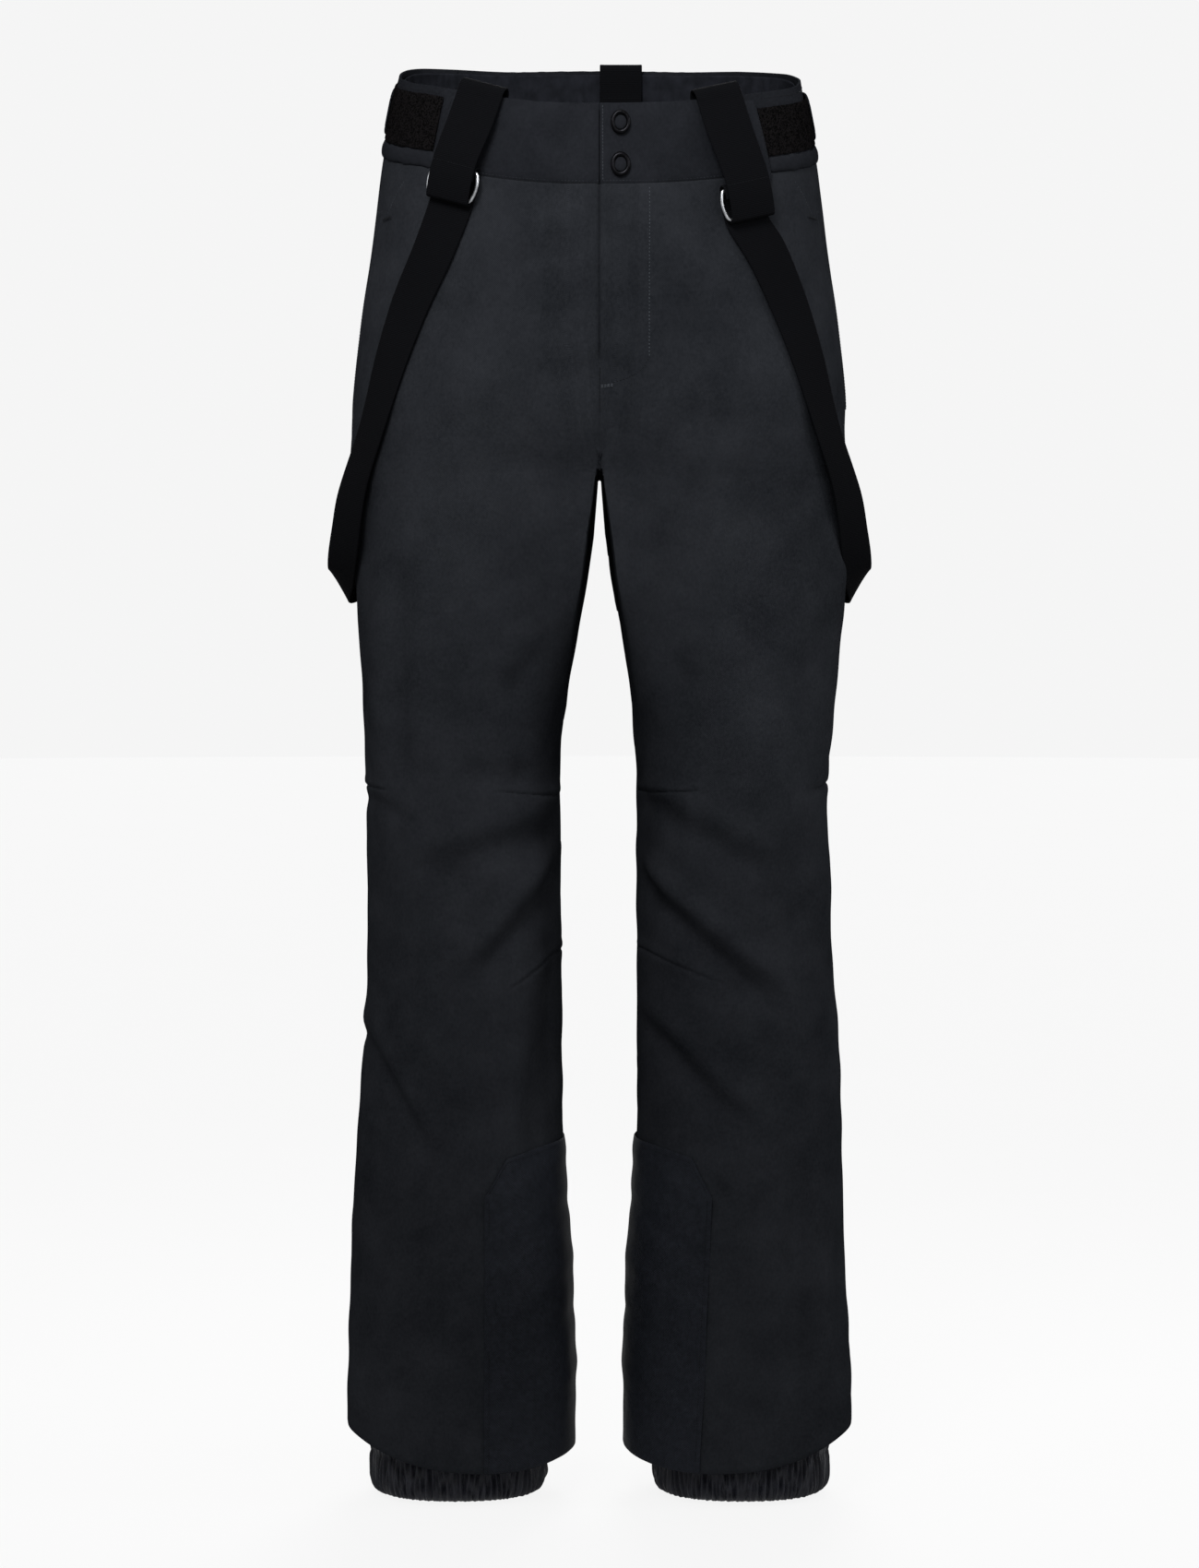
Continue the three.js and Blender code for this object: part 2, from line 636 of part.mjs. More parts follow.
// Long strap: round the ring's far bar, down and out over the hip, folded at the side of
// the thigh, then up across the seat to the patch at the centre of the back
function suspenderStrap(side, frames) {
  const { fold } = frames;
  const top = wrap(fold, -RING.height, -1, LOOSE);
  const stops = [[fold, 7 - RING.height, RING.standoff + LOOSE], ...top];
  stops.push([fold, -9, 1.6], [fold, 4, 1.6]);
  const [left, right] = strapEdges(stops, WEBBING.width);
  const inner = side > 0 ? right : left;
  const outer = side > 0 ? left : right;
  if (Math.abs(inner[0].x) > Math.abs(outer[0].x))
    throw new Error("the strap's inner edge is the one nearer the centre");
  const centres = [
    fold.place.clone().addScaledVector(fold.down, 4),
    ...[[127, 985], [145, 945], [159, 905], [175, 850]].map(([x, z]) =>
      skinAt(side, -1, x, z, 2.2)),
  ];
  const half = WEBBING.width / 2;
  const edgesAt = (centre, along, out) => {
    const across = along.clone().cross(out).normalize().multiplyScalar(half);
    const towardsSide = Math.sign(across.x) === side ? across : across.negate();
    outer.push(centre.clone().add(towardsSide));
    inner.push(centre.clone().sub(towardsSide));
  };
  for (let i = 1; i < centres.length; i++) {
    const next = centres[Math.min(i + 1, centres.length - 1)];
    const along = next.clone().sub(centres[i - 1]);
    const c = centres[i];
    edgesAt(c, along, outward(side, angleAt(-1, Math.abs(c.x), c.z), c.z));
  }
  const free = [
    [[205, -42, 800], [181, -72, 803]], [[210, -34, 775], [186, -62, 776]],
    [[214, -22, 754], [190, -44, 748]], [[215, -12, 744], [195, -14, 727]],
    [[213, 6, 744], [199, 16, 715]],
  ];
  for (const [o, i] of free) {
    outer.push(new Vector3(side * o[0], o[1], o[2]));
    inner.push(new Vector3(side * i[0], i[1], i[2]));
  }
  const backCentres = [[176, 748], [150, 772], [112, 822], [72, 890], [42, 962], [26, 1030], [24, 1060]]
    .map(([x, z]) => [x + side * BACK_TAB_X * smoothstep(z, 900, 1030), z])
    .map(([x, z]) => skinAt(side, 1, x, z, 3.4));
  backCentres.forEach((c, i) => {
    const before = backCentres[Math.max(0, i - 1)];
    const after = backCentres[Math.min(i + 1, backCentres.length - 1)];
    const along = after.clone().sub(before).normalize();
    const out = outward(side, angleAt(1, Math.abs(c.x), c.z), c.z);
    const across = along.cross(out).normalize().multiplyScalar(half);
    if (across.z * 1 + Math.sign(across.x) * side * 0.4 < 0) across.negate();
    outer.push(c.clone().add(across));
    inner.push(c.clone().sub(across));
  });
  return ribbon(outer, inner, WEBBING.thickness, 56);
}

function backFrame(z) {
  const angle = angleAt(1, 0, z);
  const place = bare(1, angle, z).setX(BACK_TAB_X);
  const down = new Vector3(0, 0, -1);
  return flatFrame(place, down, outward(1, angle, z));
}

function backWebbing(rim, bar) {
  const stops = [
    [rim, 40, -9], [rim, 22, -9], [rim, 4, -9], [rim, -4, -8], [rim, -7, -3.5],
    [rim, -4, 1], [rim, 4, 3.4], [bar, -12, 9.4], ...wrap(bar, 0, 1, SNUG),
    [bar, -8, RING.standoff - SNUG],
  ];
  return ribbon(...strapEdges(stops, WEBBING.width), WEBBING.thickness, 34);
}

// Patch that joins both long straps and hangs from the back ring
function backPatch(bar) {
  const low = wrap(bar, RING.height, -1, LOOSE).reverse();
  const stops = [[bar, RING.height + 9, RING.standoff - LOOSE], ...low];
  const [left, right] = strapEdges(stops, WEBBING.width);
  for (const [down, half] of [[34, 20], [48, 30], [66, 40], [86, 44]]) {
    left.push(frameEdge(bar, -half, down, 8.6));
    right.push(frameEdge(bar, half, down, 8.6));
  }
  return ribbon(left, right, WEBBING.thickness, 30);
}

function suspenders() {
  for (const [name, side] of Object.entries(SIDES)) {
    const frames = hangerFrames(side, name);
    add(`front_webbing_${name}`, frontWebbing(frames), STRAP);
    add(`strap_ring_${name}`, ringWire(frames.fold, -RING.height), STEEL);
    add(`suspender_strap_${name}`, suspenderStrap(side, frames), STRAP);
  }
  const rim = backFrame(bandSeam(Math.PI / 2) + BAND_HEIGHT);
  const bar = backFrame(1118);
  add("back_webbing", backWebbing(rim, bar), STRAP);
  add("back_ring", ringWire(bar, RING.height), STEEL);
  add("back_patch", backPatch(bar), STRAP);
}

panels();
gaiters();
waistband();
add("waistband_underlap", underlap(), SHELL);
adjusters();
beltLoops();
flyFlap();
add("fly_guard", flyGuard(), LINING);
zip();
snaps();
pockets();
suspenders();
pants.position.z = -WAIST_HEIGHT;

export default pants;
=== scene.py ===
import json
import math

import bmesh
import bpy
import numpy as np
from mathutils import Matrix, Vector


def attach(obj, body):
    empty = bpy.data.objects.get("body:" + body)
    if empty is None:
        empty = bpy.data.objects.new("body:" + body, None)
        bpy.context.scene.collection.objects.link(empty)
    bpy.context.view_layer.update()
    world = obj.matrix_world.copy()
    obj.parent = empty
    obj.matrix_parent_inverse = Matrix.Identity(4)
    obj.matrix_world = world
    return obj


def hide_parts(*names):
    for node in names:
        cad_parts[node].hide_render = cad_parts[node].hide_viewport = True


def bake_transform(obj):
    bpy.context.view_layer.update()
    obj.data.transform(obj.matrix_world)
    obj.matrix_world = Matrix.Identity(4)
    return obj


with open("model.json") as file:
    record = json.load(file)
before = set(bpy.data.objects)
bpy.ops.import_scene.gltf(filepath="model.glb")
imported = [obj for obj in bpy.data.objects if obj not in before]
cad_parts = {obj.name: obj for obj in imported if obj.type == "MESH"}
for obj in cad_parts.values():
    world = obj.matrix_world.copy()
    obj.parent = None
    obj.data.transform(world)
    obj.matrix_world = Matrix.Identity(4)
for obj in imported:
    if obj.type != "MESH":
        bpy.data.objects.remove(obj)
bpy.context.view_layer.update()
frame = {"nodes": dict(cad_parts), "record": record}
BODY_OF = {n: body for body, nodes in frame["record"]["behaviour"]["bodies"].items() for n in nodes}

# The garment is drafted in millimetres. Heights are measured up from just below the gaiters,
# the front faces -Y and the wearer's right leg is at -X. to_frame() gives metres.
WAIST_HEIGHT = 1120
# Where the two legs join in the draft, and where the gap between them ends
CROTCH_HEIGHT = 814
CROTCH_TOP = 813
# How far the shell runs up under the waistband
TUCK = 0.6
CROTCH_BLEND = 130
ROUNDNESS = 2.25
CLOTH = 2.2
GAP = 0.3
SEAM_SHARE = 0.0015
BAND_HEIGHT = 62
BAND_TILT = 0.236
BAND_SEAM = 1060
HIP_RISE = {"right": 9, "left": 4.5}
BAND_SIDE_SEAM = math.radians(44)
HEM = {"front": 32, "side": 18, "outward": 10}
FLY = {"bottom": 882, "fold": 44, "bend": 34, "stitch": 38, "stitch_low": 903, "zip": 14, "length": 140}
SNAP = {"x": 16, "upper": 1081, "lower": 1049}
WEBBING = {"width": 38, "thickness": 1.5}
RING = {"wire": 1.3, "height": 22, "half_width": 20.4, "bulge": 2.2, "standoff": 7, "play": 1.7}
HANGER = {"rim_x": 90, "fold_x": 112, "right": 1025.5, "left": 1011.5}
BACK_TAB_X = 17.5
BACK_WEBBING_WIDTH = 34.5
SIDES = {"right": -1, "left": 1}
SIDE_NAME = {side: name for name, side in SIDES.items()}
FORWARD = np.array([0, -1.0, 0])


# ---- Shape of the garment ----

def profile(stations):
    """A smooth curve through (height, value) stations that never overshoots them."""
    height, value = np.array(stations, float).T
    rise = np.diff(value) / np.diff(height)
    slope = np.concatenate([rise[:1], np.zeros(len(rise) - 1), rise[-1:]])
    for i in range(1, len(rise)):
        if rise[i - 1] * rise[i] > 0:
            slope[i] = 2 * rise[i - 1] * rise[i] / (rise[i - 1] + rise[i])

    def at(z):
        z = np.clip(z, height[0], height[-1])
        i = np.clip(np.searchsorted(height, z, side="right") - 1, 0, len(rise) - 1)
        span = height[i + 1] - height[i]
        t = (z - height[i]) / span
        s = 1 - t
        ends = value[i] * s * s * (1 + 2 * t) + value[i + 1] * t * t * (3 - 2 * t)
        return ends + span * (slope[i] * s * s * t - slope[i + 1] * t * t * s)

    return at


outer_width = profile([
    (10, 203), (80, 201), (170, 197), (280, 193), (385, 187.5), (450, 184), (560, 182.5),
    (650, 187), (715, 191.5), (800, 195.5), (867, 195), (933, 189), (1000, 179.5),
    (1060, 171.5), (1130, 158), (1160, 152),
])
inseam = profile([
    (10, 20.5), (123, 21), (232, 26), (310, 30.5), (560, 31), (626, 28), (692, 19),
    (736, 11.2), (771, 6.7), (CROTCH_HEIGHT, 0),
])
front_depth = profile([
    (10, -70), (120, -73), (300, -80), (450, -88), (620, -97), (800, -109), (880, -116.5),
    (960, -115), (1034, -113), (1094, -110.5), (1160, -107),
])
back_depth = profile([
    (10, 76), (120, 77), (300, 78), (450, 79), (620, 95), (800, 117), (900, 134),
    (960, 136), (1034, 128), (1094, 119), (1160, 112),
])


def lerp(a, b, t):
    return a + (b - a) * t


def smoothstep(x, low, high):
    t = np.clip((x - low) / (high - low), 0, 1)
    return t * t * (3 - 2 * t)


def soften(v):
    return np.sign(v) * np.abs(v) ** (2 / ROUNDNESS)


def section(z):
    """Centre, half axes and reach of one half of the garment: cx, cy, a, b, reach."""
    outer = outer_width(z)
    rise = np.clip((z - CROTCH_HEIGHT) / CROTCH_BLEND, 0, 1)
    rise = np.where(rise < 0.1, 5 * rise ** 2, rise - 0.05) / 0.95
    a = np.where(z < CROTCH_HEIGHT, (outer - inseam(z)) / 2, outer / (1 + (1 - rise) ** 1.5))
    front, back = front_depth(z), back_depth(z)
    overlap = np.minimum(1, (outer - a) / a) ** (ROUNDNESS / 2)
    return outer - a, (front + back) / 2, a, (back - front) / 2, np.arccos(-overlap)


def bare(side, angle, z):
    """A point of the cloth. Angle 0 is the side seam, negative angles are in front."""
    side, angle, z = np.broadcast_arrays(np.asarray(side, float), angle, z)
    cx, cy, a, b, _ = section(z)
    x = cx + a * soften(np.cos(angle))
    return np.stack([side * x, cy + b * soften(np.sin(angle)), z], -1)


def unit(v):
    return v / np.maximum(np.linalg.norm(v, axis=-1, keepdims=True), 1e-12)


def outward(side, angle, z):
    side, angle, z = np.broadcast_arrays(np.asarray(side, float), angle, z)
    along = bare(side, angle + 0.02, z) - bare(side, angle - 0.02, z)
    up = bare(side, angle, z + 1.0) - bare(side, angle, z - 1.0)
    return unit(np.cross(along, up) * side[..., None])


def skin(side, angle, z, offset):
    return bare(side, angle, z) + outward(side, angle, z) * np.asarray(offset, float)[..., None]


def grid_of(rows, columns):
    """Two lists of steps spread over a grid, the first down it and the second across it."""
    return np.broadcast_arrays(rows[:, None], columns[None, :])


def angle_at(facing, x, z):
    """The angle at which the oval passes a distance x from the centre plane."""
    cx, _, a, _, _ = section(z)
    share = np.clip((x - cx) / a, -1, 1)
    return facing * np.arccos(np.sign(share) * np.abs(share) ** (ROUNDNESS / 2))


def skin_at(side, facing, x, z, offset):
    x, z = np.broadcast_arrays(np.asarray(x, float), np.asarray(z, float))
    return skin(side, angle_at(facing, x, z), z, offset)


def hip_rise(side, angle):
    """How much higher the waistband sits at the hips, most of all on the wearer's right."""
    beyond = angle > np.pi / 2
    near = np.where(beyond, np.pi - angle, angle)
    most = np.where(np.where(beyond, -side, side) < 0, HIP_RISE["right"], HIP_RISE["left"])
    return most * smoothstep(near, -1.5, -0.6) * (1 - smoothstep(near, 0.1, 1.2))


def band_seam(side, angle):
    """Height of the seam under the waistband, which rises to the back and over the hips."""
    middle = np.full(np.shape(angle), float(BAND_SEAM + 30))
    return BAND_SEAM + BAND_TILT * bare(1, angle, middle)[..., 1] + hip_rise(side, angle)


def on_band(side, angle, height, offset):
    angle, height = np.broadcast_arrays(np.asarray(angle, float), height)
    return skin(side, angle, band_seam(side, angle) + height, offset)


def band_normal(side, angle, height):
    return outward(side, angle, band_seam(side, angle) + height)


def band_front(x):
    return angle_at(-1, x, BAND_SEAM)


def hem(angle):
    c = np.cos(angle)
    return HEM["front"] + HEM["side"] * c * c + HEM["outward"] * c


def to_frame(points):
    return (np.asarray(points, float) - (0, 0, WAIST_HEIGHT)) / 1000


# ---- Mesh building ----

def grid_quads(rows, columns, wrap=False, wrap_rows=False):
    r, c = np.meshgrid(
        np.arange(rows if wrap_rows else rows - 1),
        np.arange(columns if wrap else columns - 1), indexing="ij")
    right, up = (c + 1) % columns, (r + 1) % rows
    corners = [r * columns + c, r * columns + right, up * columns + right, up * columns + c]
    return np.stack(corners, -1).reshape(-1, 4)


def mesh_object(name, points, quads, uv=None, weld=False, sharp=50):
    """A smooth-shaded object in the shared frame from points in the drafting frame."""
    mesh = bpy.data.meshes.new(name)
    mesh.vertices.add(len(points))
    mesh.vertices.foreach_set("co", to_frame(points).ravel())
    mesh.loops.add(quads.size)
    mesh.loops.foreach_set("vertex_index", quads.ravel().astype(np.int32))
    mesh.polygons.add(len(quads))
    mesh.polygons.foreach_set("loop_start", np.arange(0, quads.size, 4, dtype=np.int32))
    if uv is not None:
        layer = mesh.uv_layers.new(name="Cloth")
        layer.data.foreach_set("uv", uv[quads.ravel()].ravel().astype(np.float32))
    mesh.update(calc_edges=True)
    if weld:
        shape = bmesh.new()
        shape.from_mesh(mesh)
        bmesh.ops.remove_doubles(shape, verts=shape.verts, dist=1e-6)
        shape.to_mesh(mesh)
        shape.free()
    mesh.polygons.foreach_set("use_smooth", np.ones(len(mesh.polygons), bool))
    mesh.set_sharp_from_angle(angle=math.radians(sharp))
    made = bpy.data.objects.new(name, mesh)
    bpy.context.scene.collection.objects.link(made)
    return made


def steps_between(a, b, count, tight=0.0):
    """Evenly spaced values, with a closer pair at each end where an edge rolls over."""
    inner = np.linspace(a + 3 * tight, b - 3 * tight, count)
    if not tight:
        return inner
    return np.concatenate([[a, a + tight], inner, [b - tight, b]])


def slopes(points, axis, wrap):
    if wrap:
        return (np.roll(points, -1, axis) - np.roll(points, 1, axis)) / 2
    return np.gradient(points, axis=axis)


def lengths(points, axis):
    step = np.linalg.norm(np.diff(points, axis=axis), axis=-1)
    zero = np.zeros_like(step[:, :1] if axis == 1 else step[:1])
    return np.concatenate([zero, np.cumsum(step, axis)], axis)


def cloth(name, points, thickness, toward=None, wrap=False, keep=None, roll=0.4, flat=None):
    """A closed sheet. points is a (rows, columns, 3) grid of its outer face, toward points
    out of it, keep is a mask of the cells that it has, and flat one of edges left square."""
    rows, columns = points.shape[:2]
    normal = unit(np.cross(slopes(points, 1, wrap), slopes(points, 0, False)))
    quads = grid_quads(rows, columns, wrap)
    if keep is not None:
        quads = quads[keep.ravel()]
    turned = toward is not None and (normal * toward).sum() < 0
    if turned:
        normal = -normal
        quads = quads[:, ::-1]
    edge_from, edge_to = quads.ravel(), np.roll(quads, -1, 1).ravel()
    total = rows * columns
    lonely = ~np.isin(edge_from * total + edge_to, edge_to * total + edge_from)
    a, b = edge_from[lonely], edge_to[lonely]
    border = np.zeros(total)
    border[a] = 1
    border[b] = 1
    if flat is not None:
        border[flat.ravel()] = 0
    depth = np.broadcast_to(np.asarray(thickness, float), (rows, columns)).reshape(-1, 1)
    pull = border[:, None] * roll * depth
    p, n = points.reshape(-1, 3), normal.reshape(-1, 3)
    both = np.concatenate([p - n * pull, p - n * (depth - pull)])
    rim = np.stack([b, a, a + total, b + total], -1)
    faces = np.concatenate([quads, quads[:, ::-1] + total, rim])
    mid = points.shape[1] // 2
    across = lengths(points, 1)
    across = across - across[:, mid:mid + 1]
    uv = np.stack([across, lengths(points, 0)], -1).reshape(-1, 2) / 1000
    used, faces = np.unique(faces, return_inverse=True)
    faces = faces.reshape(-1, 4)
    return mesh_object(name, both[used], faces, np.concatenate([uv, uv])[used])


def volume(points, quads):
    """A number with the sign of the enclosed volume, positive where the faces point out."""
    a, b, c, d = (points[quads[:, i]] for i in range(4))
    return (a * np.cross(b, c)).sum() + (a * np.cross(c, d)).sum()


def closed_grid(name, points, wrap_rows=False, sharp=40):
    """A closed body from a grid that wraps across its columns, welded where it comes to a point."""
    rows, columns = points.shape[:2]
    flat = points.reshape(-1, 3)
    quads = grid_quads(rows, columns, True, wrap_rows)
    if volume(flat, quads) < 0:
        quads = quads[:, ::-1]
    row, column = np.meshgrid(np.arange(rows), np.arange(columns), indexing="ij")
    uv = np.stack([column, row], -1).reshape(-1, 2) / 1000
    return mesh_object(name, flat, quads, uv, weld=True, sharp=sharp)


def curve_through(stops, steps, closed=False):
    """A centripetal Catmull-Rom curve through the stops."""
    p = np.array(stops, float)
    count = len(p) if closed else len(p) - 1
    t = np.linspace(0, count, steps + 1)
    if closed:
        t = t[:-1]
    i = np.minimum(t.astype(int), count - 1)
    w = (t - i)[:, None]
    if closed:
        a, b, c, d = (p[(i + k) % len(p)] for k in (-1, 0, 1, 2))
    else:
        q = np.vstack([2 * p[0] - p[1], p, 2 * p[-1] - p[-2]])
        a, b, c, d = (q[i + k] for k in range(4))

    def root(u, v):
        return np.maximum(np.linalg.norm(v - u, axis=1, keepdims=True), 1e-6) ** 0.5

    d0, d1, d2 = root(a, b), root(b, c), root(c, d)
    t1 = ((b - a) / d0 - (c - a) / (d0 + d1) + (c - b) / d1) * d1
    t2 = ((c - b) / d1 - (d - b) / (d1 + d2) + (d - c) / d2) * d1
    return b + t1 * w + (3 * c - 3 * b - 2 * t1 - t2) * w**2 + (2 * b - 2 * c + t1 + t2) * w**3


def evenly(path, normals, pitch):
    """Points every pitch along a path, with the path's direction and normal at each."""
    at = np.concatenate([[0], np.cumsum(np.linalg.norm(np.diff(path, axis=0), axis=1))])
    where = np.arange(pitch / 2, at[-1], pitch)

    def sample(values, spots):
        return np.stack([np.interp(spots, at, values[:, k]) for k in range(3)], -1)

    along = sample(path, where + 0.4) - sample(path, where - 0.4)
    return sample(path, where), unit(along), unit(sample(normals, where))


def thread_shape(sides=6):
    """One stitch, 1 long, 1 wide and 1 high, whose ends dip into the cloth."""
    rings = [(-0.5, 0.05, -0.5), (-0.44, 0.6, -0.25), (-0.25, 1, 0), (0.25, 1, 0),
             (0.44, 0.6, -0.25), (0.5, 0.05, -0.5)]
    turn = np.arange(sides) * 2 * np.pi / sides
    points = [[(x, r * np.cos(a) / 2, r * np.sin(a) / 2 + drop) for a in turn]
              for x, r, drop in rings]
    return np.array(points).reshape(-1, 3), grid_quads(len(rings), sides, True)


def stitches(name, rows, length=1.6, pitch=2.5, width=0.55, height=0.4, across=False):
    """Rows of stitches as one object. Each row is (path, normals), in the drafting frame."""
    shape, quads = thread_shape()
    points, faces, count = [], [], 0
    for path, normals in rows:
        place, along, out = evenly(path, normals, pitch)
        beside = unit(np.cross(out, along))
        if across:
            along, beside = beside, along
        for k in range(len(place)):
            axes = np.stack([along[k] * length, beside[k] * width, out[k] * height])
            points.append(place[k] + shape @ axes)
            faces.append(quads + count * len(shape))
            count += 1
    made = np.concatenate(points)
    all_quads = np.concatenate(faces)
    if volume(points[0] - points[0].mean(0), quads) < 0:
        all_quads = all_quads[:, ::-1]
    return mesh_object(name, made, all_quads, np.zeros((len(made), 2)), sharp=70)


# ---- Materials ----

def colour(red, green, blue):
    """A linear colour from 0 to 255 values as a screen shows them."""
    return tuple(((v / 255 + 0.055) / 1.055) ** 2.4 for v in (red, green, blue)) + (1.0,)


class Finish:
    """A Principled material being built from nodes."""

    def __init__(self, name, roughness, specular, metallic=0.0):
        self.material = bpy.data.materials.new(name)
        self.material.use_nodes = True
        self.tree = self.material.node_tree
        self.shader = self.tree.nodes["Principled BSDF"]
        self.set("Roughness", roughness)
        self.set("Specular IOR Level", specular)
        self.set("Metallic", metallic)

    def set(self, socket, value):
        self.shader.inputs[socket].default_value = value

    def node(self, kind, settings=None, **links):
        made = self.tree.nodes.new("ShaderNode" + kind)
        for key, value in (settings or {}).items():
            if isinstance(key, str) and hasattr(made, key):
                setattr(made, key, value)
            else:
                made.inputs[key].default_value = value
        for key, socket in links.items():
            self.tree.links.new(socket, made.inputs[key])
        return made

    def link(self, socket, name):
        self.tree.links.new(socket, self.shader.inputs[name])

    def cloth_place(self, scale):
        uv = self.node("UVMap", {"uv_map": "Cloth"})
        return self.node("Mapping", {"Scale": scale}, Vector=uv.outputs["UV"]).outputs["Vector"]

    def object_place(self):
        return self.node("TexCoord").outputs["Object"]

    def noise(self, place, scale, detail=3.0, roughness=0.5):
        settings = {"Scale": scale, "Detail": detail, "Roughness": roughness}
        return self.node("TexNoise", settings, Vector=place).outputs["Fac"]

    def waves(self, place, direction, scale, distortion=0.4):
        settings = {"bands_direction": direction, "Scale": scale, "Distortion": distortion,
                    "Detail": 1.0, "Detail Scale": 1.5}
        return self.node("TexWave", settings, Vector=place).outputs["Fac"]

    def sum(self, *weighted):
        """Adds sockets, each times its weight."""
        total = None
        for socket, weight in weighted:
            scaled = self.node("Math", {"operation": "MULTIPLY", 1: weight})
            self.tree.links.new(socket, scaled.inputs[0])
            if total is None:
                total = scaled.outputs[0]
                continue
            both = self.node("Math", {"operation": "ADD"})
            self.tree.links.new(total, both.inputs[0])
            self.tree.links.new(scaled.outputs[0], both.inputs[1])
            total = both.outputs[0]
        return total

    def ramp(self, value, stops):
        made = self.node("ValToRGB", Fac=value)
        elements = made.color_ramp.elements
        while len(elements) < len(stops):
            elements.new(0.5)
        for element, (position, tint) in zip(elements, stops):
            element.position = position
            element.color = tint
        return made.outputs["Color"]

    def shade(self, value, low, dark, high, light):
        """Colours the surface from dark to light as the value goes from low to high."""
        self.link(self.ramp(value, [(low, dark), (high, light)]), "Base Color")

    def bump(self, height, distance, strength=0.6):
        made = self.node("Bump", {"Distance": distance, "Strength": strength}, Height=height)
        self.link(made.outputs["Normal"], "Normal")

    def rough(self, value, low, high):
        settings = {"To Min": low, "To Max": high}
        made = self.node("MapRange", settings, Value=value)
        self.link(made.outputs["Result"], "Roughness")


def twill_cloth(name, dark, light, roughness, specular=0.0, pitch=0.0009, depth=0.00012, mottle=26):
    """Woven shell cloth: fine diagonal twill, thread by thread variation and soft clouding."""
    made = Finish(name, roughness, specular)
    twill = made.waves(made.cloth_place((1, 1, 1)), "DIAGONAL", 0.44 / pitch, 0.7)
    yarn = made.noise(made.cloth_place((1.0, 0.25, 1)), 1 / pitch, 2)
    place = made.object_place()
    cloud = made.noise(place, mottle, 5, 0.62)
    broad = made.noise(place, 5.0, 2)
    slub = made.noise(place, 420, 3, 0.65)
    mixed = made.sum((cloud, 0.26), (broad, 0.3), (twill, 0.1), (yarn, 0.12), (slub, 0.22))
    made.shade(mixed, 0.34, dark, 0.66, light)
    made.rough(yarn, roughness - 0.06, roughness + 0.08)
    made.bump(made.sum((twill, 0.6), (yarn, 0.5)), depth)
    return made.material


def webbing_cloth(name, dark, light):
    """Ribbed matt webbing: weft ribs across the strap and a fainter warp along it."""
    made = Finish(name, 0.9, 0.01)
    place = made.cloth_place((1, 1, 1))
    ribs = made.waves(place, "Y", 0.31 / 0.0013, 0.25)
    warp = made.waves(place, "X", 0.31 / 0.0009, 0.5)
    fuzz = made.noise(made.object_place(), 900, 3, 0.7)
    made.shade(made.sum((ribs, 0.35), (warp, 0.15), (fuzz, 0.5)), 0.25, dark, 0.75, light)
    made.bump(made.sum((ribs, 0.7), (warp, 0.25), (fuzz, 0.3)), 0.0003)
    return made.material


def crisp_lining(name, dark, light, roughness, specular):
    """Plain-woven nylon with a soft gloss, for gaiters, facings and pocket bags."""
    made = Finish(name, roughness, specular)
    place = made.cloth_place((1, 1, 1))
    warp = made.waves(place, "X", 0.31 / 0.0006, 0.3)
    weft = made.waves(place, "Y", 0.31 / 0.0006, 0.3)
    crumple = made.noise(made.object_place(), 110, 4, 0.6)
    made.shade(made.sum((crumple, 0.7), (warp, 0.15), (weft, 0.15)), 0.3, dark, 0.7, light)
    made.rough(crumple, roughness - 0.08, roughness + 0.1)
    made.bump(made.sum((warp, 0.25), (weft, 0.25), (crumple, 1.2)), 0.00035)
    return made.material


def hook_and_loop(name, dark, light):
    """Matted loop pile: coarse clumps with fine fibre noise on top."""
    made = Finish(name, 1.0, 0.0)
    place = made.object_place()
    clumps = made.node("TexVoronoi", {"Scale": 620.0}, Vector=place).outputs["Distance"]
    fibre = made.noise(place, 1500, 4, 0.75)
    patch = made.noise(place, 240, 3, 0.6)
    made.shade(made.sum((clumps, 0.35), (fibre, 0.45), (patch, 0.35)), 0.5, dark, 0.62, light)
    made.bump(made.sum((clumps, 0.9), (fibre, 0.6)), 0.0009, 0.9)
    return made.material


def worn_metal(name, dark, light, roughness):
    """Cast or drawn metal with fine scratches and uneven polish."""
    made = Finish(name, roughness, 0.5, metallic=1.0)
    place = made.object_place()
    polish = made.noise(place, 300, 4, 0.6)
    scratch = made.noise(place, 1800, 3, 0.7)
    made.shade(made.sum((polish, 0.7), (scratch, 0.3)), 0.35, dark, 0.65, light)
    made.rough(polish, roughness - 0.07, roughness + 0.12)
    made.bump(made.sum((scratch, 0.5), (polish, 0.5)), 0.00006, 0.5)
    return made.material


def sewing_thread(name, dark, light):
    """Twisted thread."""
    made = Finish(name, 0.8, 0.04)
    twist = made.waves(made.object_place(), "DIAGONAL", 0.44 / 0.0004, 0.2)
    shade = made.noise(made.object_place(), 500, 2)
    made.shade(made.sum((twist, 0.4), (shade, 0.6)), 0.3, dark, 0.7, light)
    made.bump(twist, 0.0001)
    return made.material


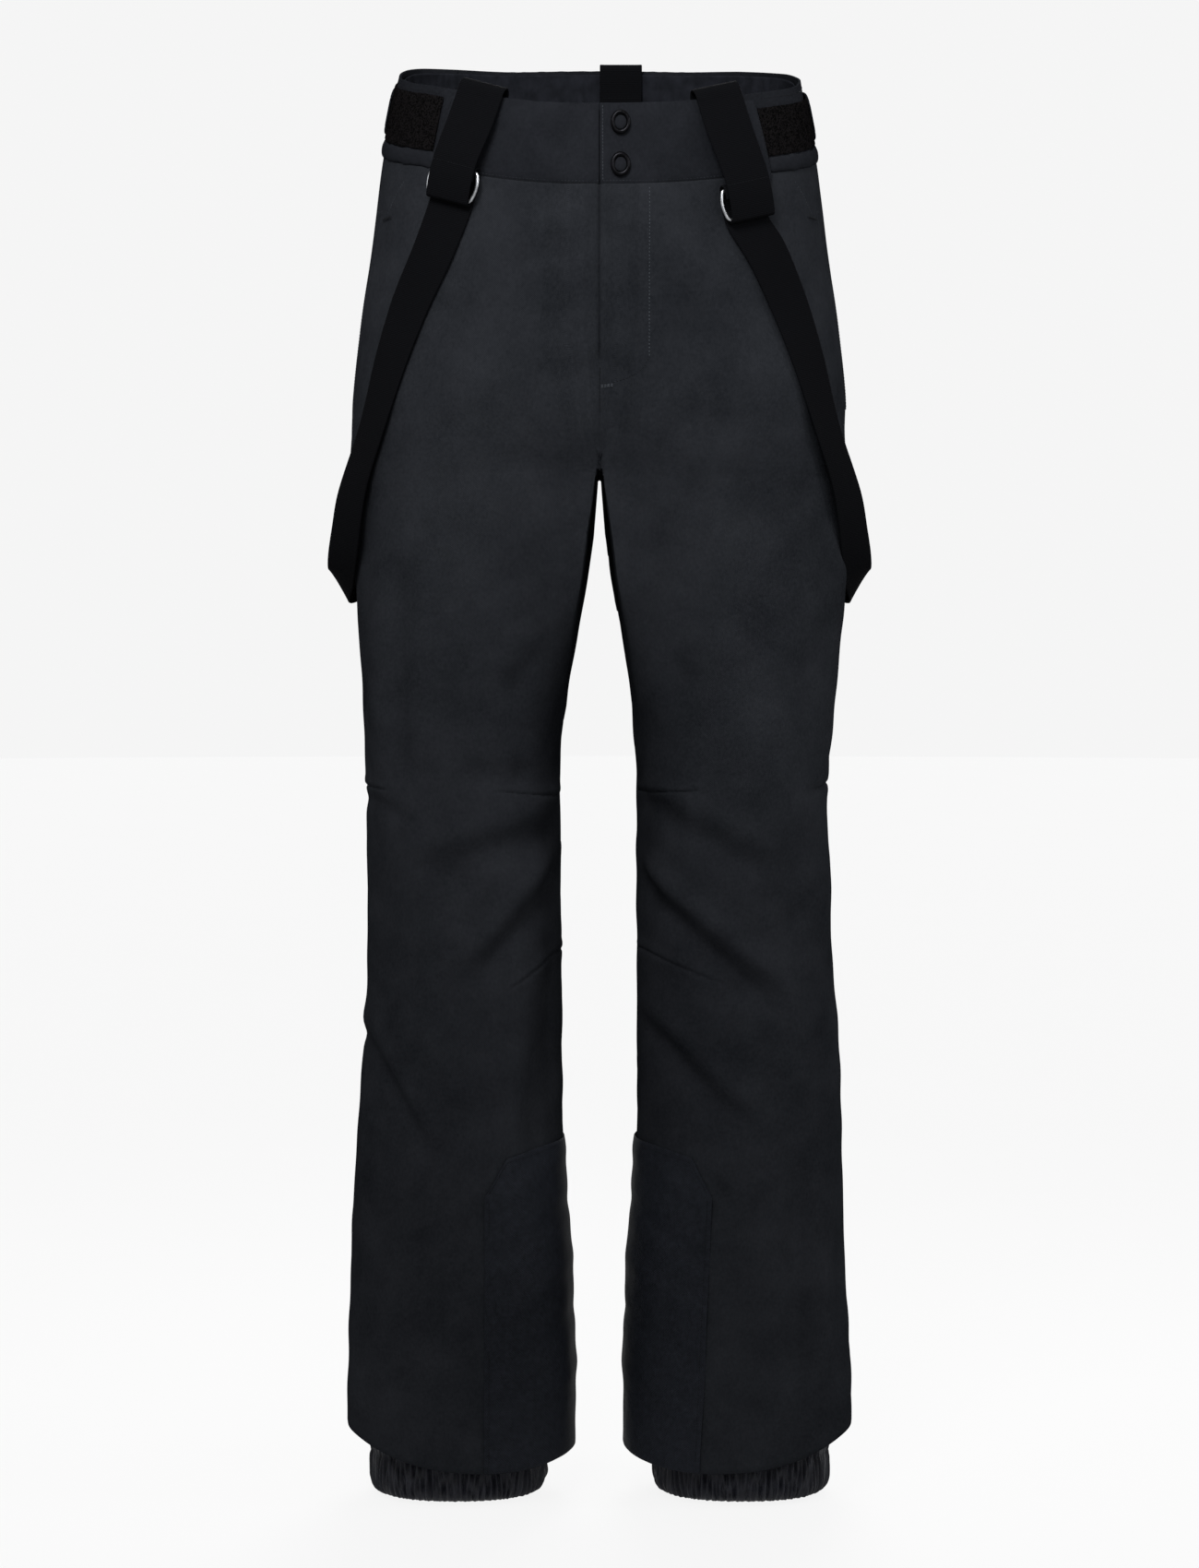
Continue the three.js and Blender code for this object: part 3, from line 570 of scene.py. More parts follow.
SHELL = twill_cloth("shell_twill", colour(10, 11.4, 13.6), colour(28.2, 29.5, 32.4), 0.8)
PATCH = twill_cloth("reinforced_twill", colour(4.5, 6, 8.5), colour(22.5, 24.3, 29), 0.62, 0.03,
                    pitch=0.0013, depth=0.0004, mottle=190)
BAND = twill_cloth("waistband_twill", colour(7, 8, 10), colour(21.5, 22.5, 25.5), 0.8)
LINING = crisp_lining("facing_nylon", colour(10, 11, 13), colour(21, 22, 26), 0.8, 0.0)
GAITER_CLOTH = crisp_lining("gaiter_nylon", colour(9, 10, 14), colour(24, 25, 31), 0.5, 0.12)
STRAP = webbing_cloth("strap_webbing", colour(1, 1, 2), colour(6, 6.6, 8.5))
ELASTIC = webbing_cloth("woven_elastic", colour(6, 6, 7), colour(14, 14, 16))
LOOP = hook_and_loop("loop_pile", colour(0, 0, 0), colour(10, 9, 9.5))
STEEL = worn_metal("bright_steel", colour(120, 121, 124), colour(160, 162, 165), 0.28)
SNAP_BLACK = worn_metal("black_snap_enamel", colour(8, 8, 9), colour(16, 16, 18), 0.3)
ZIP_METAL = worn_metal("zip_black_metal", colour(20, 20, 21), colour(40, 40, 42), 0.34)
THREAD = sewing_thread("shell_thread", colour(26, 28, 31), colour(52, 55, 59))
# Dark thread for real stitches. The same material also makes the unbroken dark lines in the band's lower
# seam and in the front centre seam, which are painted seam shade.
DARK_THREAD_AND_SEAM_SHADE = sewing_thread("dark_thread_and_seam_shade", colour(5, 6, 8), colour(12, 13, 15))


# ---- Placing pieces ----

def finish_piece(made, material):
    made.data.materials.clear()
    made.data.materials.append(material)
    return made


def stands_for(made, node, material, bend=None):
    """Gives a piece its looks, hides its CAD node and rides with its body, or has its transform baked in
    where a bend is given.
    """
    finish_piece(made, material)
    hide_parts(node)
    return carried(made, BODY_OF[node], bend)


def carried(made, body, bend=None):
    if bend is None:
        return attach(made, body)
    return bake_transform(made)


def trim(made, material, body="garment", bend=None):
    """Gives a piece without a CAD node of its own its looks, and carries it with a body."""
    finish_piece(made, material)
    carried(made, body, bend)


def sew(name, rows, body="garment", thread=None, bend=None, slot="shell_fabric", **sizes):
    trim(stitches(name, rows, **sizes), thread or THREAD, body, bend)


def column_rows(points, normal, columns, clear, lift):
    """Stitch rows along some of a grid's columns, clear of its two ends."""
    inner = slice(clear, -clear)
    return [(points[inner, k] + normal[inner, k] * lift, normal[inner, k]) for k in columns]


def declare(points, gather=1.0):
    """Works out a sheet's flat size and area from the smooth grid that it was drafted on; the results are
    not kept.
    """
    across = lengths(points, 1)[:, -1] / 1000 * gather
    along = lengths(points, 0)[-1] / 1000
    du, dv = np.diff(points[:-1], axis=1), np.diff(points[:, :-1], axis=0)
    area = np.linalg.norm(np.cross(du, dv), axis=-1).sum() / 1e6 * gather
    flat = (round(float(across.max()), 4), round(float(along.max()), 4))
    area = min(round(float(area), 5), flat[0] * flat[1])


# ---- Folds in the shell ----

# Soft folds as (x, z) to (x, z), then width and height. x is measured outwards from the
# centre plane, and a negative height is a hollow.
FOLDS = {
    ("right", -1): [
        (38, 540, 114, 512, 16, -1.6), (42, 556, 118, 530, 13, 1.3),
        (33, 495, 80, 438, 12, -2.0), (46, 505, 92, 452, 11, 1.5),
        (64, 579, 92, 579, 15, -1.4), (33, 408, 48, 300, 15, -1.3), (50, 400, 66, 300, 15, 0.8),
        (158, 715, 155, 600, 12, -1.3),
        (30, 690, 62, 650, 14, -1.2), (60, 800, 20, 760, 16, 0.9), (107, 495, 112, 470, 18, -1.0),
        (150, 250, 172, 120, 13, 1.3), (135, 240, 150, 110, 15, -1.2), (8, 1010, 60, 990, 12, 0.6),
    ],
    ("left", -1): [
        (45, 555, 105, 520, 14, -1.5), (50, 568, 110, 536, 12, 1.2),
        (42, 484, 109, 424, 11, -2.6), (52, 496, 120, 438, 11, 1.9),
        (31, 380, 95, 322, 12, -1.8), (36, 394, 102, 336, 11, 1.3),
        (150, 520, 156, 450, 14, -1.4),
        (92, 262, 100, 250, 4, -1.2), (154, 250, 157, 130, 11, -2.0),
        (30, 700, 66, 655, 14, -1.1), (96, 700, 120, 560, 20, 1.0), (70, 820, 30, 780, 16, 0.9),
        (50, 1000, 96, 940, 18, 0.8),
    ],
    ("right", 1): [
        (40, 600, 130, 560, 16, -2.2), (46, 616, 132, 578, 13, 1.7),
        (36, 540, 120, 548, 13, -1.8), (40, 524, 118, 530, 12, 1.4),
        (34, 470, 96, 500, 12, -1.6), (20, 800, 90, 850, 15, -1.5), (24, 784, 96, 830, 13, 1.2),
        (150, 240, 165, 110, 12, 1.3), (50, 300, 70, 160, 12, -1.3),
    ],
    ("left", 1): [
        (36, 590, 126, 572, 15, -2.0), (40, 606, 130, 590, 13, 1.6),
        (34, 536, 112, 520, 13, -1.9), (38, 520, 110, 504, 12, 1.4),
        (30, 480, 90, 462, 12, -1.3), (18, 806, 84, 846, 15, -1.4), (22, 790, 92, 826, 13, 1.2),
        (148, 250, 168, 120, 12, 1.4), (56, 310, 66, 170, 12, -1.4),
    ],
}
# Knee darts as seams from (x, z) to (x, z)
DARTS = {
    ("right", -1): [(34, 564, 76, 569), (32, 440, 65, 417), (184, 571, 168, 570)],
    ("left", -1): [(31, 567, 76, 570), (31, 442, 96, 419), (184, 573, 166, 571)],
    ("right", 1): [],
    ("left", 1): [],
}
FOLD_DEPTH = 2.9
# Folds that cross the side seam, so that they are on the front and on the back
SIDE_FOLDS = {
    "right": [(184, 366, 146, 306, 5, -1.1), (176, 372, 140, 318, 7, 0.9),
              (171, 721, 168, 608, 9, 0.9), (178, 560, 160, 552, 7, -0.8)],
    "left": [(176, 509, 172, 466, 12, 1.0), (178, 574, 164, 571, 6, -0.7),
             (174, 240, 176, 140, 9, 1.3), (176, 690, 160, 640, 14, -0.8)],
}
# Ankle patch: its front edge at the hem and at its top, its height, where its top edge
# starts in front and the angle at which it ends behind
KICK_FRONT = {"right": (91, 90), "left": (79, 88)}
KICK_HEIGHT = 290
KICK_INNER_X = 31
KICK_BACK = -math.pi * 1.28


def fold_height(x, z, x0, z0, x1, z1, width, height, ends=None):
    """Height of a soft ridge or hollow that runs between two points and fades at its ends."""
    run, rise = x1 - x0, z1 - z0
    length = math.hypot(run, rise)
    along = ((x - x0) * run + (z - z0) * rise) / length
    across = ((x - x0) * rise - (z - z0) * run) / length
    beyond = np.maximum(np.maximum(-along, along - length), 0)
    fade = np.exp(-(beyond / (ends or 0.25 * length + 5)) ** 2)
    return height * fade * np.exp(-(across / width) ** 2)


def wavy(points, seed, amount, spacing, count=12, stretch=(1, 1, 0.45)):
    """Smooth random height made of a few sine waves, stretched along Z."""
    random = np.random.default_rng(seed)
    total = np.zeros(points.shape[:-1])
    for _ in range(count):
        way = unit(random.normal(size=3)) * stretch
        size = spacing * random.uniform(0.6, 1.6)
        total += np.sin(points @ way * 2 * np.pi / size + random.uniform(0, 2 * np.pi))
    return amount * total / math.sqrt(count / 2)


def shell_relief(name, facing, points, share):
    """How far the shell stands proud of its draft: drape, folds, darts and seams."""
    x, z = np.abs(points[..., 0]), points[..., 2]
    drape = wavy(points, 7, 1.5, 140) + wavy(points, 21, 0.3, 42, stretch=(1, 1, 0.8))
    loose = smoothstep(z, HEM["front"], HEM["front"] + 60) * (1 - 0.85 * smoothstep(z, 850, 900))
    height = drape * loose
    for fold in SIDE_FOLDS[name]:
        height += FOLD_DEPTH * fold_height(x, z, *fold)
    inside = smoothstep(share, 0, 0.14) * (1 - smoothstep(share, 0.86, 1))
    own = wavy(points, 7 + facing, 1.9, 120) * loose
    for fold in FOLDS[name, facing]:
        own += 1.15 * FOLD_DEPTH * fold_height(x, z, *fold)
    height += own * inside
    for x0, z0, x1, z1 in DARTS[name, facing]:
        height += fold_height(x, z, x0, z0, x1, z1, 1.1, -1.3, ends=2.5)
        height += fold_height(x, z, x0, z0 + 4, x1, z1 + 3, 4, 0.9, ends=7)
        height += fold_height(x, z, x0, z0 - 5, x1, z1 - 4, 4, 0.5, ends=7)
    fly_edge = (1.4 if facing < 0 else 0) * smoothstep(z, 886, 896)
    seams = ((share, 0.7, 1.2), (1 - share, 1.2 + fly_edge, 1.1))
    for along, depth, width in seams:
        distance = along * 260
        height += 0.4 * np.exp(-((distance - 5) / 3.5) ** 2) - depth * np.exp(-(distance / width) ** 2)
    return height


# ---- Legs and seat ----

def panel_rows():
    """Heights of the grid's rows at the front of the leg, close together at the darts."""
    fine = [(410, 450), (556, 576), (808, 824)]
    heights = [HEM["front"], HEM["front"] + 0.8]
    top = float(band_seam(1, np.float64(-np.pi / 2))) + TUCK
    while heights[-1] < top - 4:
        step = 1.15 if any(low <= heights[-1] <= high for low, high in fine) else 3.6
        heights.append(heights[-1] + step)
    heights = [h for h in heights if abs(h - FLY["bottom"]) > 1.5] + [FLY["bottom"], top - 0.8, top]
    return np.sort(heights)


def panel_grid(name, facing, cut_columns=False):
    """Drafted points of one leg's front or back, and each column's share and height."""
    side = SIDES[name]
    rows = panel_rows()
    z_row = rows[:, None]
    tight = 0.003
    if cut_columns:
        level = np.maximum(z_row, FLY["bottom"])
        cut = np.abs(angle_at(-1, FLY["fold"], level)) / section(level)[4]
        outer = steps_between(SEAM_SHARE, 1, 82, tight)[:-1]
        outer = (outer - outer[0]) / (outer[-1] - outer[0])
        inner = steps_between(0, 1, 17, tight * 3)[2:]
        inner = (inner - inner[0]) / (inner[-1] - inner[0])
        share = np.concatenate([
            lerp(SEAM_SHARE, cut, outer[None, :]), lerp(cut, 1 - SEAM_SHARE, inner[None, 1:]),
        ], 1)
        fold_column = len(outer) - 1
    else:
        share = np.repeat(steps_between(SEAM_SHARE, 1 - SEAM_SHARE, 96, tight)[None, :], len(rows), 0)
        fold_column = None
    low = hem(share * np.pi)
    high = band_seam(side, facing * share * np.pi / 2) + TUCK
    low_fade = 1 - smoothstep(z_row, rows[0], rows[0] + 160)
    high_fade = smoothstep(z_row, FLY["bottom"] + 2, rows[-1])
    z = z_row + (low - rows[0]) * low_fade + (high - rows[-1]) * high_fade
    angle = facing * share * section(z)[4]
    points = bare(side, angle, z)
    points[..., 0] += side * GAP
    return points, outward(side, angle, z), share, fold_column


def close_seams(points, share, side, facing):
    """Brings the panel's long edges on to the seams, so that none of them shows a gap."""
    z = points[..., 2]
    middle = section(z)[1] - facing * 0.1
    at_side = 1 - smoothstep(share, 0, 0.05)
    points[..., 1] += ((middle - points[..., 1])[:, :1]) * at_side
    below = 1 - smoothstep(z, CROTCH_HEIGHT - 8, CROTCH_HEIGHT - 1)
    near = smoothstep(share, 0.95, 1)
    points[..., 1] += ((middle - points[..., 1])[:, -1:]) * near * below[:, -1:]
    above = smoothstep(z[:, -1:], CROTCH_HEIGHT - 3, CROTCH_HEIGHT + 4)
    points[..., 0] += (-side * 0.1 - points[:, -1:, 0]) * smoothstep(share, 0.9, 1) * above


def fill_crotch(points, side):
    """Fills most of the valley between the legs in front, down to the crotch."""
    x, z = np.abs(points[..., 0]), points[..., 2]
    reference = bare(side, angle_at(-1, np.full(z.shape, 70.0), z), z)[..., 1]
    depth = points[..., 1] - reference
    thigh = smoothstep(z, 600, 740) * smoothstep(x - inseam(z), -0.5, 2.5)
    joined = smoothstep(z, CROTCH_TOP, CROTCH_TOP + 5)
    amount = 0.97 * np.maximum(thigh, joined) * (1 - smoothstep(x, 35, 70))
    points[..., 1] -= np.maximum(depth, 0) * amount
    seam = smoothstep(z, CROTCH_TOP, CROTCH_TOP + 5) * (1 - smoothstep(z, 880, 900))
    points[..., 1] += 0.8 * seam * np.exp(-(x / 1.6) ** 2)


def blunt_crotch(points, side):
    """Keeps the legs a little apart right up to the crotch, where the gap ends squarely."""
    z = points[..., 2]
    apart = np.interp(z, (700, 771, CROTCH_TOP, CROTCH_TOP + 1.2), (0, 6.5, 3.2, 0))
    clear = side * np.maximum(side * points[..., 0], apart)
    points[..., 0] = np.where(apart > 0, clear, points[..., 0])


def shell_panels():
    rows = panel_rows()
    fly_row = int(np.argmin(np.abs(rows - FLY["bottom"])))
    fly_pieces = {}
    for name, side in SIDES.items():
        for facing, where in ((-1, "front"), (1, "back")):
            has_fly = side > 0 and facing < 0
            draft, normal, share, fold = panel_grid(name, facing, has_fly)
            lift = shell_relief(name, facing, draft, share)
            points = draft + normal * lift[..., None]
            if facing < 0:
                fill_crotch(points, side)
            close_seams(points, share, side, facing)
            blunt_crotch(points, side)
            keep = None
            flat = np.zeros(draft.shape[:2], bool)
            flat[1:-1, (0, -1)] = True
            if has_fly:
                opening = np.zeros((len(rows) - 1, draft.shape[1] - 1), bool)
                opening[fly_row:, fold:] = True
                keep = ~opening
                flat[fly_row:-1, fold] = True
                flat[fly_row, fold:-1] = True
                flap = cloth("fly_flap_cloth", points, CLOTH, normal, keep=opening, flat=flat)
                fly_pieces["flap"] = (flap, draft[fly_row:, fold:])
            made = cloth(f"{where}_panel_{name}_cloth", points, CLOTH, normal, keep=keep, flat=flat)
            stands_for(made, f"{where}_panel_{name}", SHELL)
            declare(draft)
    flap, draft = fly_pieces["flap"]
    stands_for(flap, "fly_flap", SHELL, fly_bend())
    declare(draft)


def fly_bend():
    """Where the flap starts and ends its bend, on each side of the hinge line."""
    places = (skin_at(1, -1, FLY[key], 960.0, 0.0) for key in ("fold", "bend"))
    return tuple(to_frame(p) for p in places)


def kick_top(front, x):
    """Height of the patch's upper edge over the front, with its cut corner."""
    corner = front - 17
    sloped = KICK_HEIGHT - 0.21 * (np.minimum(x, corner) - KICK_INNER_X)
    return sloped - 1.75 * np.maximum(x - corner, 0)


def kick_patches():
    """Reinforced patches round the inner ankle, from the front edge to the back of the leg."""
    for name, side in SIDES.items():
        low_x, high_x = KICK_FRONT[name]
        start = float(angle_at(-1, high_x, 250.0))
        across = steps_between(0, 1, 90, 0.006)[None, :]
        angles = lerp(start, KICK_BACK, across)
        round_front = np.abs(bare(1, angles, np.full(angles.shape, 265.0))[..., 0])
        front_x = np.where(angles > -np.pi, round_front, KICK_INNER_X)
        top = np.minimum(kick_top(high_x, front_x), KICK_HEIGHT)
        z = lerp(hem(angles) + 1.2, top, steps_between(0, 1, 80, 0.004)[:, None])
        front = angle_at(-1, lerp(low_x, high_x, np.clip((z - 44) / 206, 0, 1)), z)
        angle = lerp(front, KICK_BACK, across)
        normal = outward(side, angle, z)
        draft = skin(side, angle, z, 1.5)
        shell = shell_relief(name, -1, draft, np.abs(angle) / section(z)[4])
        in_front = smoothstep(-angle, np.pi - 0.1, np.pi - 0.6)
        lift = 0.35 + shell * in_front + wavy(draft, 40 + side, 0.3, 60)
        lift += wavy(draft, 50 + side, 0.14, 22, stretch=(1, 1, 0.9))
        x = np.abs(draft[..., 0])
        for k in range(5):
            low_z = 70 + 45 * k
            lift += fold_height(x, z, 30, low_z + 30, 74, low_z, 8, -1.5 if k % 2 else 1.4)
        points = draft + normal * lift[..., None]
        made = cloth(f"kick_patch_{name}_cloth", points, 1.3, normal, roll=0.45)
        stands_for(made, f"kick_patch_{name}", PATCH)
        declare(draft)
        top_edge = (draft[-3, 2:-2] + normal[-3, 2:-2] * 0.1, normal[-3, 2:-2])
        rows = column_rows(draft, normal, [2], 4, 0.1) + [top_edge]
        sew(f"kick_patch_stitches_{name}", rows, slot="reinforced_fabric", thread=DARK_THREAD_AND_SEAM_SHADE,
            length=1.9, width=0.4, height=0.3)


GAITER = {"bottom": 5.5, "top": 150, "centre": 113.5, "half_width": 69.5, "half_depth": 62, "folds": 96}


def round_grid(heights, count):
    """Turns and heights of a grid that runs once round a leg."""
    turn = np.linspace(0, 1, count, endpoint=False)[None, :]
    return np.broadcast_arrays(turn, heights[:, None])


def gaiter_points(side, turn, z, inset):
    share = smoothstep(z, 45, GAITER["top"])[..., None]
    angle = turn * 2 * np.pi
    x = GAITER["centre"] + (GAITER["half_width"] - inset) * soften(np.cos(angle))
    y = 2 + (GAITER["half_depth"] - inset) * soften(np.sin(angle))
    cuff = np.stack([side * x, y, z + 0 * x], -1)
    leg = skin(side, angle, z, -CLOTH - 8 - inset)
    return lerp(cuff, leg, share)


def gather(turn, z, folds, seed):
    """Irregular upright folds, closest together where the elastic pulls."""
    random = np.random.default_rng(seed)
    total = np.zeros(np.broadcast(turn, z).shape)
    for k in range(4):
        count = int(folds * (0.62, 0.83, 1.0, 1.31)[k])
        phase = random.uniform(0, 2 * np.pi) + 0.8 * np.sin(2 * np.pi * turn * (3 + k) + z * 0.05 + k)
        lean = (0.12 + 0.05 * k) * np.sin(2 * np.pi * turn * (5 + 3 * k) + k) * (z - 24)
        wave = np.sin(2 * np.pi * turn * count + phase + lean)
        total = total + (0.5, 0.8, 1.0, 0.45)[k] * (np.abs(wave) ** 1.4 * np.sign(wave))
    return total / 2


def gaiter_cuff(name, side):
    """The gathered gaiter, turned under at its lower edge, with a casing for its elastic."""
    bottom, top = GAITER["bottom"], GAITER["top"]
    low = bottom + 41 * np.linspace(0, 1, 30) ** 1.4
    turn, z = round_grid(np.concatenate([low, np.linspace(54, top, 16)]), 900)
    draft = gaiter_points(side, turn, z, 0.6)
    normal = outward(side, turn * 2 * np.pi, z)
    depth = lerp(1.7, 0.5, smoothstep(z, 34, 120))
    round_off = np.clip((bottom + 13 - z) / 13, 0, 1)
    tuck = 8.5 * (1 - np.sqrt(1 - 0.98 * round_off ** 2))
    casing = 0.9 * np.exp(-((z - 37) / 2.4) ** 2)
    lift = gather(turn, z, GAITER["folds"], 3 + side) * depth - tuck - casing + 1.2
    made = cloth(f"gaiter_{name}_cloth", draft + normal * lift[..., None], 0.8, normal, wrap=True)
    stands_for(made, f"gaiter_{name}", GAITER_CLOTH)
    smooth = np.concatenate([draft, draft[:, :1]], 1)
    declare(smooth, gather=1.35)


def gaiter_elastic(name, side):
    turn, z = round_grid(GAITER["bottom"] + np.linspace(5, 16, 10), 240)
    normal = outward(side, turn * 2 * np.pi, z)
    ripple = 0.25 * np.sin(2 * np.pi * turn * 70)
    points = gaiter_points(side, turn, z, 10.5) + normal * ripple[..., None]
    made = cloth(f"gaiter_elastic_{name}_band", points, 1.0, normal, wrap=True)
    stands_for(made, f"gaiter_elastic_{name}", ELASTIC)


def gaiters():
    for name, side in SIDES.items():
        gaiter_cuff(name, side)
        gaiter_elastic(name, side)


# ---- Waistband ----

def rim_lift(angle):
    """How much higher than its draft the band's upper edge stands at the hips."""
    angle = np.minimum(angle, np.pi - angle)
    return 1.5 * smoothstep(angle, -0.5, 0.25) * (1 - smoothstep(angle, 0.75, 1.25))


def band_piece(name, side, start, stop, low, high, offset, thickness, columns=60, rows=20,
               relief=None, roll=0.42, butted=(), groove=0.35):
    """A piece of the band between two angles and two heights, and the grid it is drafted on."""
    tight = 0.0035 if stop > start else -0.0035
    height, angle = grid_of(steps_between(low, high, rows, 0.5), steps_between(start, stop, columns, tight))
    height = height + rim_lift(angle) * (height / BAND_HEIGHT) ** 2
    draft = on_band(side, angle, height, offset)
    normal = band_normal(side, angle, height)
    lift = relief(draft, angle, height) if relief else np.zeros(angle.shape)
    points = draft + normal * lift[..., None]
    flat = np.zeros(angle.shape, bool)
    for column in butted:
        flat[:, column] = True
        points[:, column] -= normal[:, column] * groove
    return cloth(name, points, thickness, normal, roll=roll, flat=flat), draft


# Soft pulls across the front of the band, as (x, height) to (x, height), width and height
BAND_FOLDS = [(52, 46, 22, 20, 6, -0.7), (66, 40, 34, 12, 6, 0.5), (58, 54, 84, 30, 7, -0.6)]


def band_relief(draft, angle, height):
    """A waistband sewn at its lower edge and turned over at the top."""
    soft = wavy(draft, 5, 0.12, 30, stretch=(1, 1, 0.7)) + wavy(draft, 77, 0.45, 75, stretch=(1, 1, 1.6))
    seam = -0.45 * np.exp(-((height - 2.6) / 1.1) ** 2) + 0.35 * np.exp(-((height - 6.5) / 2.5) ** 2)
    seam -= 1.3 * np.exp(-(height / 0.9) ** 2)
    x = np.abs(draft[..., 0])
    pulls = sum(fold_height(x, height, *fold) for fold in BAND_FOLDS) * (angle < 0)
    return soft + seam + pulls


def band_cloth(node, side, start, stop, rests_on, held="stretched", gather=1.0, bend=None, low=0,
               high=BAND_HEIGHT, offset=0, thickness=2, relief=band_relief, material=BAND,
               slot="shell_fabric", **shape):
    """A piece of the waistband that stands for a node of the same name."""
    made, draft = band_piece(f"{node}_cloth", side, start, stop, low, high, offset, thickness,
                             relief=relief, **shape)
    stands_for(made, node, material, bend)
    declare(draft, gather=gather)


def waistband():
    """Fronts and sides, the end that overlaps at the fly, and the elasticated back."""
    gap = -0.0004
    middle, fold = float(band_front(GAP)), float(band_front(FLY["fold"]))
    side_seam = BAND_SIDE_SEAM + gap
    for name, side in SIDES.items():
        start = fold if side > 0 else middle
        panel = [f"front_panel_{name}_cloth"]
        band_cloth(f"waistband_front_{name}", side, start, -side_seam, panel, columns=90,
                   butted=(0, -1) if side > 0 else (-1,), groove=0.02)
        band_cloth(f"waistband_side_{name}", side, -BAND_SIDE_SEAM + gap, BAND_SIDE_SEAM - gap, panel,
                   columns=90, butted=(0, -1), groove=0.12)
    band_cloth("waistband_overlap_tab", 1, middle, fold, ["waistband_underlap_cloth"],
               bend=fly_bend(), low=0.3, columns=30, butted=(-1,), groove=0.02)
    back = (side_seam, math.pi - BAND_SIDE_SEAM - gap)
    band_cloth("waistband_back", 1, *back, ["back_panel_right_cloth", "back_panel_left_cloth"],
               held="gathered", gather=1.06, thickness=1.6, relief=elastic_relief, columns=260,
               rows=26, butted=(0, -1), groove=0.12)
    made, _ = band_piece("waist_elastic_band", 1, *back, 8, 52, -2, 1.6, columns=160)
    stands_for(made, "waist_elastic", ELASTIC)
    band_cloth("waistband_back_facing", 1, -0.45, math.pi + 0.45, ["waist_elastic_band"],
               held="gathered", gather=1.1, low=2, high=59, offset=-4.7, thickness=1.2,
               material=LINING, slot="lining", relief=facing_relief, columns=420, rows=34)
    underlap()


def elastic_relief(draft, angle, height):
    """Upright gathers of cloth over the waist elastic, held flat at both seams."""
    held = np.clip(np.sin(np.pi * height / BAND_HEIGHT), 0, 1) ** 0.5
    wave = np.sin(angle * 74 + 1.1 * np.sin(angle * 9) + 0.02 * height)
    return held * (0.34 * wave + 0.16 * np.sin(angle * 121 + 2)) + wavy(draft, 9, 0.1, 20)


def facing_relief(draft, angle, height):
    """Crinkled inner facing: slanting soft creases as well as the elastic's gathers."""
    x = draft[..., 0]
    slant = np.sin(x * 0.12 + height * 0.07 + 1.6 * np.sin(x * 0.035))
    upright = np.sin(x * 0.5 + height * 0.05 + 2.2 * np.sin(x * 0.06))
    fine = np.sin(x * 1.1 - height * 0.08 + 2 * np.sin(x * 0.11 + 1))
    return 0.75 * slant + 0.35 * upright + 0.16 * fine + wavy(draft, 31, 0.25, 40)


def underlap():
    """Inner end of the waistband that the overlapping end snaps on to."""
    height, x = grid_of(steps_between(2, 58, 18, 0.5), steps_between(-24, 36, 60, 0.5))
    angle = angle_at(-1, np.abs(x), np.full(x.shape, BAND_SEAM))
    depth = lerp(3, 7.2, smoothstep(x, -20, -4))
    points = on_band(1, angle, height, -depth)
    points[..., 0] *= np.where(x < 0, -1, 1)
    made = cloth("waistband_underlap_cloth", points, 1.6, FORWARD)
    stands_for(made, "waistband_underlap", BAND)
    declare(points)


LOOP_PATCH = {"right": (13, 55), "left": (13, 50)}
LOOP_EDGE = {"right": (128, 125), "left": (129, 125)}
TAB = {"height": 31, "half": 19}
ROLL_START = {"right": 124, "left": 128}
BELT_LOOP_FRONT = {"right": (112, 122), "left": (117, 124)}


def pile_relief(draft, angle, height):
    random = np.random.default_rng(12)
    return random.uniform(-0.22, 0.22, angle.shape)


def loop_patch(name, side):
    low, high = LOOP_PATCH[name]
    edge = band_front(lerp(*LOOP_EDGE[name], steps_between(0, 1, 64, 0.02)))[:, None]
    share = steps_between(0, 1, 190, 0.004)[None, :]
    angle, height = np.broadcast_arrays(
        lerp(edge, math.radians(28), share), steps_between(low, high, 64, 0.8)[:, None])
    draft = on_band(side, angle, height, 1.9)
    normal = band_normal(side, angle, height)
    points = draft + normal * pile_relief(draft, angle, height)[..., None]
    patch = cloth(f"loop_patch_{name}_pile", points, 1.0, normal)
    stands_for(patch, f"loop_patch_{name}", LOOP)
    declare(draft)


def adjusters():
    """On each hip a loop patch, a tab with hook tape under its free end, and a corded roll."""
    for name, side in SIDES.items():
        loop_patch(name, side)
        hooks, draft = band_piece(
            f"hook_tape_{name}_pile", side, math.radians(5), math.radians(26), 16, 46, 3.1, 0.7,
            relief=pile_relief, columns=70, rows=44)
        stands_for(hooks, f"hook_tape_{name}", LOOP)
        declare(draft)
        tab, draft = adjuster_tab(name, side)
        stands_for(tab, f"adjuster_tab_{name}", BAND, tab_bend(side))
        declare(draft)
        side_roll(name, side)


def tab_bend(side):
    """Where the tab starts and ends its bend."""
    ends = on_band(side, np.radians([46.0, 36.0]), TAB["height"], 4.4)
    return to_frame(ends[0]), to_frame(ends[1])


def adjuster_tab(name, side):
    """A doubled tab with a rounded free end, sewn to the band at its other end."""
    rise, share = grid_of(steps_between(-1, 1, 26, 0.02), steps_between(0, 1, 70, 0.006))
    angle = lerp(math.radians(3), math.radians(46), share)
    corner = np.clip(1 - share / 0.14, 0, 1)
    half = TAB["half"] * (1 - 0.45 * (1 - np.sqrt(1 - np.minimum(corner, 0.999) ** 2)))
    height = TAB["height"] + rise * half
    draft = on_band(side, angle, height, 5.2)
    normal = band_normal(side, angle, height)
    edge = np.abs(rise)
    puff = 0.25 * (1 - edge**6) - 0.3 * np.exp(-((edge - 0.86) / 0.05) ** 2)
    return cloth(f"adjuster_tab_{name}_cloth", draft + normal * puff[..., None], 1.5, normal), draft


